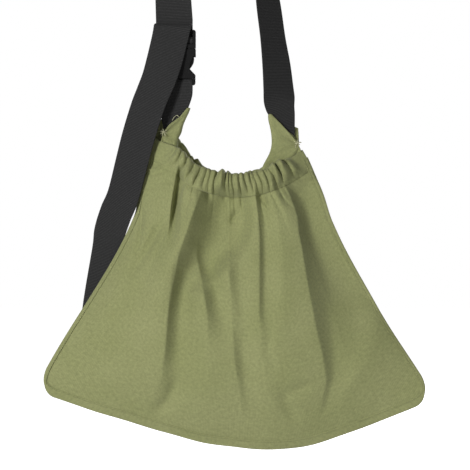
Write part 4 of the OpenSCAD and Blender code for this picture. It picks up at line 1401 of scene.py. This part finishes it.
    def tab(self):
        """Doubled webbing, round the bar of the socket and down into the left ear."""
        legs = [self.tab_side(side) for side in (FRONT, BACK)]
        over = self.turn_round(0, self.tab_bar_z, self.tab_turn, self.TAB_TURN, slack=self.TAB_SLACK)
        return np.concatenate([legs[0], np.array(over), legs[1][::-1]])

    def tab_side(self, side):
        """One layer of the tab, from the left ear up to the bar."""
        knot_x, knot_z = [value / MM for value in self.shape.knot_left]
        y = side * self.tab_leg
        ear = [station(knot_x + x, y, knot_z + z, turned(180), width) for x, z, width in self.LEFT_EAR]
        under_z = self.tab_bar_z - self.drop - self.TAB_MEET
        under = station(-self.left, y, under_z, turned(180), self.width)
        top = self.in_buckle(side * self.tab_turn, self.tab_bar_z)
        return smooth_run(ear + [under, top], self.TAB_STEPS)


class PICKINGBAG_OT_strap(bpy.types.Operator):
    """Makes the shoulder strap with its loose tail, and the doubled tab under the buckle"""

    bl_idname = "picking_bag.strap"
    bl_label = "Strap"

    def execute(self, context):
        look = context.scene.picking_bag
        route = StrapRoute(look.bag, look.strap)
        mesh = strap_mesh("strap_webbing", route.strap(), route.thick, look.strap.webbing_width)
        strap = new_piece("strap_webbing", mesh, "webbing")
        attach(strap, BAG)
        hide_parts("shoulder_strap")
        mesh = strap_mesh("tab_webbing", route.tab(), route.thick, look.strap.webbing_width)
        tab = new_piece("tab_webbing", mesh, "webbing")
        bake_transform(tab)
        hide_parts("buckle_tab")
        return {"FINISHED"}


# Buckle

MERGE_DISTANCE = 0.01 * MM
BEVEL_ANGLE = 38
BEVEL_SEGMENTS = 3


class PICKINGBAG_OT_buckle(bpy.types.Operator):
    """Gives the plug, the prongs and the socket of the buckle rounded edges and their plastic"""

    bl_idname = "picking_bag.buckle"
    bl_label = "Buckle"

    def execute(self, context):
        bevel_width = context.scene.picking_bag.strap.edge_bevel
        for name in ("buckle_plug", "left_prong", "right_prong", "buckle_socket"):
            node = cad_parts[name]
            node.data.materials.clear()
            node.data.materials.append(material_of("plastic"))
            weld = node.modifiers.new("merge corners", "WELD")
            weld.merge_threshold = MERGE_DISTANCE
            bevel = node.modifiers.new("moulded edge", "BEVEL")
            bevel.width = bevel_width
            bevel.segments = BEVEL_SEGMENTS
            bevel.limit_method = "ANGLE"
            bevel.angle_limit = math.radians(BEVEL_ANGLE)
        return {"FINISHED"}


# Stitching

STITCH_SPACING = 3.4 * MM
STITCH_LENGTH = 2.5 * MM
STITCH_RADIUS = 0.36 * MM
KNOT_SPACING = 0.8 * MM
KNOT_LENGTH = 1.6 * MM
KNOT_RADIUS = 0.42 * MM
# Casing stitches: how far along the mouth they run, and where round the casing, as an angle.
CASING_STITCH_END = 0.97
CASING_STITCH_ANGLE = 0.5
CASING_STITCH_LIFT = 0.15 * MM
CASING_STITCH_STEPS = 500
# Edge stitches: how far in from the edge, as a share of the strip's width.
EDGE_STITCH_INSET = 0.82
EDGE_STITCH_LIFT = 0.8 * MM
EDGE_STITCH_STEPS = 160
# How far in front of the seam's plane, and behind it, the knots and the loose loop lie.
LEFT_KNOT_LIFT = 12.6 * MM
RIGHT_KNOT_LIFT = 6.4 * MM
LOOP_LIFT = 5.4 * MM


def stitch_tree():
    """Geometry Nodes: one short stitch after another along the edges of a mesh."""
    tree = bpy.data.node_groups.new("stitch rows", "GeometryNodeTree")
    ports = {}
    for name, kind in (("Geometry", "NodeSocketGeometry"), ("Spacing", "NodeSocketFloat"),
                       ("Length", "NodeSocketFloat"), ("Radius", "NodeSocketFloat"),
                       ("Thread", "NodeSocketMaterial")):
        ports[name] = tree.interface.new_socket(name=name, in_out="INPUT", socket_type=kind).identifier
    tree.interface.new_socket(name="Geometry", in_out="OUTPUT", socket_type="NodeSocketGeometry")
    given = add_node(tree, "NodeGroupInput").outputs
    line = add_node(tree, "GeometryNodeMeshToCurve", {"Mesh": given["Geometry"]}).outputs["Curve"]
    spaced = add_node(tree, "GeometryNodeResampleCurve", {
        "Curve": line, "Length": given["Spacing"]}, mode="LENGTH")
    tangent = add_node(tree, "GeometryNodeInputTangent").outputs["Tangent"]
    facing = add_node(tree, "FunctionNodeAlignRotationToVector", {"Vector": tangent}, axis="X")
    half = add_node(tree, "ShaderNodeMath", {0: given["Length"], 1: 0.5}, operation="MULTIPLY").outputs[0]
    size = add_node(tree, "ShaderNodeCombineXYZ", {"X": half, "Y": given["Radius"], "Z": given["Radius"]})
    bead = add_node(tree, "GeometryNodeMeshUVSphere", {"Segments": 6, "Rings": 5, "Radius": 1.0})
    stitch = add_node(tree, "GeometryNodeTransform", {
        "Geometry": bead.outputs["Mesh"], "Scale": size.outputs[0]})
    rows = add_node(tree, "GeometryNodeInstanceOnPoints", {
        "Points": spaced.outputs["Curve"], "Instance": stitch.outputs["Geometry"],
        "Rotation": facing.outputs["Rotation"]}).outputs["Instances"]
    solid = add_node(tree, "GeometryNodeRealizeInstances", {"Geometry": rows}).outputs["Geometry"]
    done = add_node(tree, "GeometryNodeSetMaterial", {"Geometry": solid, "Material": given["Thread"]})
    add_node(tree, "NodeGroupOutput", {"Geometry": done.outputs["Geometry"]})
    return tree, ports


def sew(name, lines, tree, ports, spacing=STITCH_SPACING, stitch=STITCH_LENGTH, radius=STITCH_RADIUS):
    """A plain mesh of stitches along lines of points."""
    vertices, edges = [], []
    for line in lines:
        first = len(vertices)
        vertices += [tuple(p) for p in line]
        edges += [(first + i, first + i + 1) for i in range(len(line) - 1)]
    guide_mesh = bpy.data.meshes.new(name + "_guide")
    guide_mesh.from_pydata(vertices, edges, [])
    guide = bpy.data.objects.new(name + "_guide", guide_mesh)
    bpy.context.scene.collection.objects.link(guide)
    rows = guide.modifiers.new("stitch rows", "NODES")
    rows.node_group = tree
    rows[ports["Spacing"]] = spacing
    rows[ports["Length"]] = stitch
    rows[ports["Radius"]] = radius
    rows[ports["Thread"]] = material_of("thread")
    view = bpy.context.evaluated_depsgraph_get()
    mesh = bpy.data.meshes.new_from_object(guide.evaluated_get(view), depsgraph=view)
    bpy.data.objects.remove(guide)
    bpy.data.meshes.remove(guide_mesh)
    mesh.name = name
    if not mesh.polygons:
        raise RuntimeError(f"no stitches were made for {name}")
    mesh.polygons.foreach_set("use_smooth", [True] * len(mesh.polygons))
    piece = new_piece(name, mesh, "thread")
    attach(piece, BAG)
    return piece


class PICKINGBAG_OT_stitching(bpy.types.Operator):
    """Sews the casings, the edges and the ears"""

    bl_idname = "picking_bag.stitching"
    bl_label = "Stitching"

    # Stitches of a knot in the ear's own frame, tip to +X, in millimetres; the last two are loose ends.
    KNOT = (((-3.5, 1.5), (4.5, -1.5)), ((-1, 4), (1.5, -4)), ((-3.5, -2), (4, 2.5)), ((0, 3), (-2, -4.5)),
            ((-2, 0.5), (-4, 1.5), (-5.5, 1)), ((1, -2), (2.5, -4), (2, -6)))
    # Loose loop of thread on the rim of the left ear.
    LOOP = ((12, 17), (14, 20.5), (17, 23), (19.5, 23.5), (20.5, 21.5))

    def execute(self, context):
        sizes = context.scene.picking_bag.bag
        shape = BagShape(sizes)
        tree, ports = stitch_tree()
        sew("mouth_stitches", [self.casing_line(shape, side) for side in (FRONT, BACK)], tree, ports)
        sew("edge_stitches", [self.edge_line(shape, sizes, side) for side in (FRONT, BACK)], tree, ports)
        knots = sew("ear_knots", self.knot_lines(shape), tree, ports, KNOT_SPACING, KNOT_LENGTH, KNOT_RADIUS)
        knots.data.materials[0] = material_of("pale thread")
        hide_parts("ear_stitching")
        return {"FINISHED"}

    def casing_line(self, shape, side):
        """Along the bottom of the casing, on its outside."""
        u = np.linspace(-CASING_STITCH_END, CASING_STITCH_END, CASING_STITCH_STEPS)
        line = shape.casing(side, u, np.full_like(u, CASING_STITCH_ANGLE))
        line[:, 1] += side * CASING_STITCH_LIFT
        return line

    def edge_line(self, shape, sizes, side):
        """Along the inner edge of the folded strip."""
        u, s = seam_path(EDGE_STITCH_STEPS)
        line = shape.panel(side, *seam_inside(shape, u, s, EDGE_STITCH_INSET))
        line[:, 1] += side * (seam_lift(sizes, s) + EDGE_STITCH_LIFT)
        return line

    def knot_lines(self, shape):
        """Crossed stitches over each knot, on both sides of the ear, and the loose loop."""
        knots = ((shape.knot_left, 1, LEFT_KNOT_LIFT), (shape.knot_right, -1, RIGHT_KNOT_LIFT))
        lines = []
        for knot, way, lift in knots:
            for side in (FRONT, BACK):
                for line in self.KNOT:
                    lines.append([(knot[0] + way * x * MM, side * lift, knot[1] + z * MM) for x, z in line])
        left = shape.knot_left
        lines.append([(left[0] + x * MM, -LOOP_LIFT, left[1] + z * MM) for x, z in self.LOOP])
        return lines


# Stage, in metres

PHOTO_WIDTH = 0.653
PHOTO_MIDDLE = Vector((0.0314, 0, -0.535))
CAMERA_DISTANCE = 3.6
CAMERA_REACH = 50
SENSOR = 36.0
# Each lamp's name, place, size and power in watts.
LAMPS = (("key", (-3.5, -6.1, 0.1), 1.2, 385), ("fill", (2.0, -2.4, -0.5), 1.8, 13),
         ("rear", (2.5, 4.5, 0.4), 1.5, 180))
WHITE = (1, 1, 1, 1)
# How much light the white surround gives, as a share of what it shows.
SURROUND_LIGHT = 0.1
FLOOR_PAINT = (0.8, 0.8, 0.8, 1)
FLOOR_DROP = 0.2
FLOOR_HALF = 6
FLOOR_BACK = 14


class PICKINGBAG_OT_stage(bpy.types.Operator):
    """Sets the camera, soft studio light, a pale floor and a white surround"""

    bl_idname = "picking_bag.stage"
    bl_label = "Stage"

    def execute(self, context):
        scene = context.scene
        scene.view_settings.view_transform = "Standard"
        self.camera(scene)
        for name, place, size, power in LAMPS:
            self.lamp(scene, name, place, size, power)
        self.surround(scene)
        self.floor(scene)
        return {"FINISHED"}

    def camera(self, scene):
        data = bpy.data.cameras.new("camera")
        data.sensor_width = SENSOR
        data.lens = SENSOR * CAMERA_DISTANCE / PHOTO_WIDTH
        data.clip_end = CAMERA_REACH
        camera = bpy.data.objects.new("camera", data)
        camera.location = PHOTO_MIDDLE + Vector((0, -CAMERA_DISTANCE, 0))
        camera.rotation_euler = (math.radians(90), 0, 0)
        scene.collection.objects.link(camera)
        scene.camera = camera

    def lamp(self, scene, name, place, size, power):
        data = bpy.data.lights.new(name, "AREA")
        data.size = size
        data.energy = power
        lamp = bpy.data.objects.new(name, data)
        lamp.location = place
        aim = PHOTO_MIDDLE - Vector(place)
        lamp.rotation_euler = aim.to_track_quat("-Z", "Y").to_euler()
        scene.collection.objects.link(lamp)

    def seen_directly(self, tree):
        """1 for rays that show the surround: from the camera, or by way of gloss or glass."""
        path = add_node(tree, "ShaderNodeLightPath").outputs
        gloss = add_node(tree, "ShaderNodeMath", {
            0: path["Is Glossy Ray"], 1: path["Is Transmission Ray"]}, operation="MAXIMUM").outputs[0]
        return add_node(tree, "ShaderNodeMath", {
            0: path["Is Camera Ray"], 1: gloss}, operation="MAXIMUM").outputs[0]

    def surround(self, scene):
        """White where it is seen, and only a little light on the bag."""
        world = bpy.data.worlds.new("white surround")
        world.use_nodes = True
        tree = world.node_tree
        tree.nodes.clear()
        level = add_node(tree, "ShaderNodeMapRange", {
            "Value": self.seen_directly(tree), "To Min": SURROUND_LIGHT, "To Max": 1.0})
        light = add_node(tree, "ShaderNodeBackground", {"Color": WHITE, "Strength": level.outputs["Result"]})
        add_node(tree, "ShaderNodeOutputWorld", {"Surface": light.outputs["Background"]})
        scene.world = world

    def floor(self, scene):
        """Pale paint that glows white where it is seen, so that it has no edge against the surround."""
        z = CAD_BOX[0][2] - FLOOR_DROP
        mesh = bpy.data.meshes.new("floor")
        mesh.from_pydata([(-FLOOR_HALF, -FLOOR_HALF, z), (FLOOR_HALF, -FLOOR_HALF, z),
                          (FLOOR_HALF, FLOOR_BACK, z), (-FLOOR_HALF, FLOOR_BACK, z)], [], [(0, 1, 2, 3)])
        floor = bpy.data.objects.new("floor", mesh)
        scene.collection.objects.link(floor)
        material, tree = new_material("pale floor")
        paint = add_node(tree, "ShaderNodeBsdfDiffuse", {"Color": FLOOR_PAINT})
        glow = add_node(tree, "ShaderNodeEmission", {"Color": WHITE, "Strength": 1.0})
        lit = add_node(tree, "ShaderNodeAddShader", {0: paint.outputs[0], 1: glow.outputs[0]})
        look = add_node(tree, "ShaderNodeMixShader", {
            0: self.seen_directly(tree), 1: paint.outputs[0], 2: lit.outputs[0]})
        add_node(tree, "ShaderNodeOutputMaterial", {"Surface": look.outputs[0]})
        mesh.materials.append(material)


OPERATORS = (PICKINGBAG_OT_stage, PICKINGBAG_OT_panels, PICKINGBAG_OT_mouth, PICKINGBAG_OT_seams,
             PICKINGBAG_OT_ears, PICKINGBAG_OT_strap, PICKINGBAG_OT_buckle, PICKINGBAG_OT_stitching)


class PICKINGBAG_PT_sidebar(bpy.types.Panel):
    """Lists the sizes, the colours and the pieces of the bag"""

    bl_label = "Picking Bag"
    bl_space_type = "VIEW_3D"
    bl_region_type = "UI"
    bl_category = "Picking Bag"

    def draw(self, context):
        look = context.scene.picking_bag
        for group in (look.bag, look.strap, look.finish):
            box = self.layout.box()
            for name in group.__annotations__:
                box.prop(group, name)
        for operator in OPERATORS:
            self.layout.operator(operator.bl_idname)


CLASSES = (BagSizes, StrapSizes, Finishes, BagLook, *OPERATORS, PICKINGBAG_PT_sidebar)


def register():
    for cls in CLASSES:
        bpy.utils.register_class(cls)
    bpy.types.Scene.picking_bag = PointerProperty(type=BagLook)


def unregister():
    del bpy.types.Scene.picking_bag
    for cls in reversed(CLASSES):
        bpy.utils.unregister_class(cls)


def main():
    register()
    bpy.ops.picking_bag.stage()
    bpy.ops.picking_bag.panels()
    bpy.ops.picking_bag.mouth()
    bpy.ops.picking_bag.seams()
    bpy.ops.picking_bag.ears()
    bpy.ops.picking_bag.strap()
    bpy.ops.picking_bag.buckle()
    bpy.ops.picking_bag.stitching()


if __name__ == "__main__":
    main()
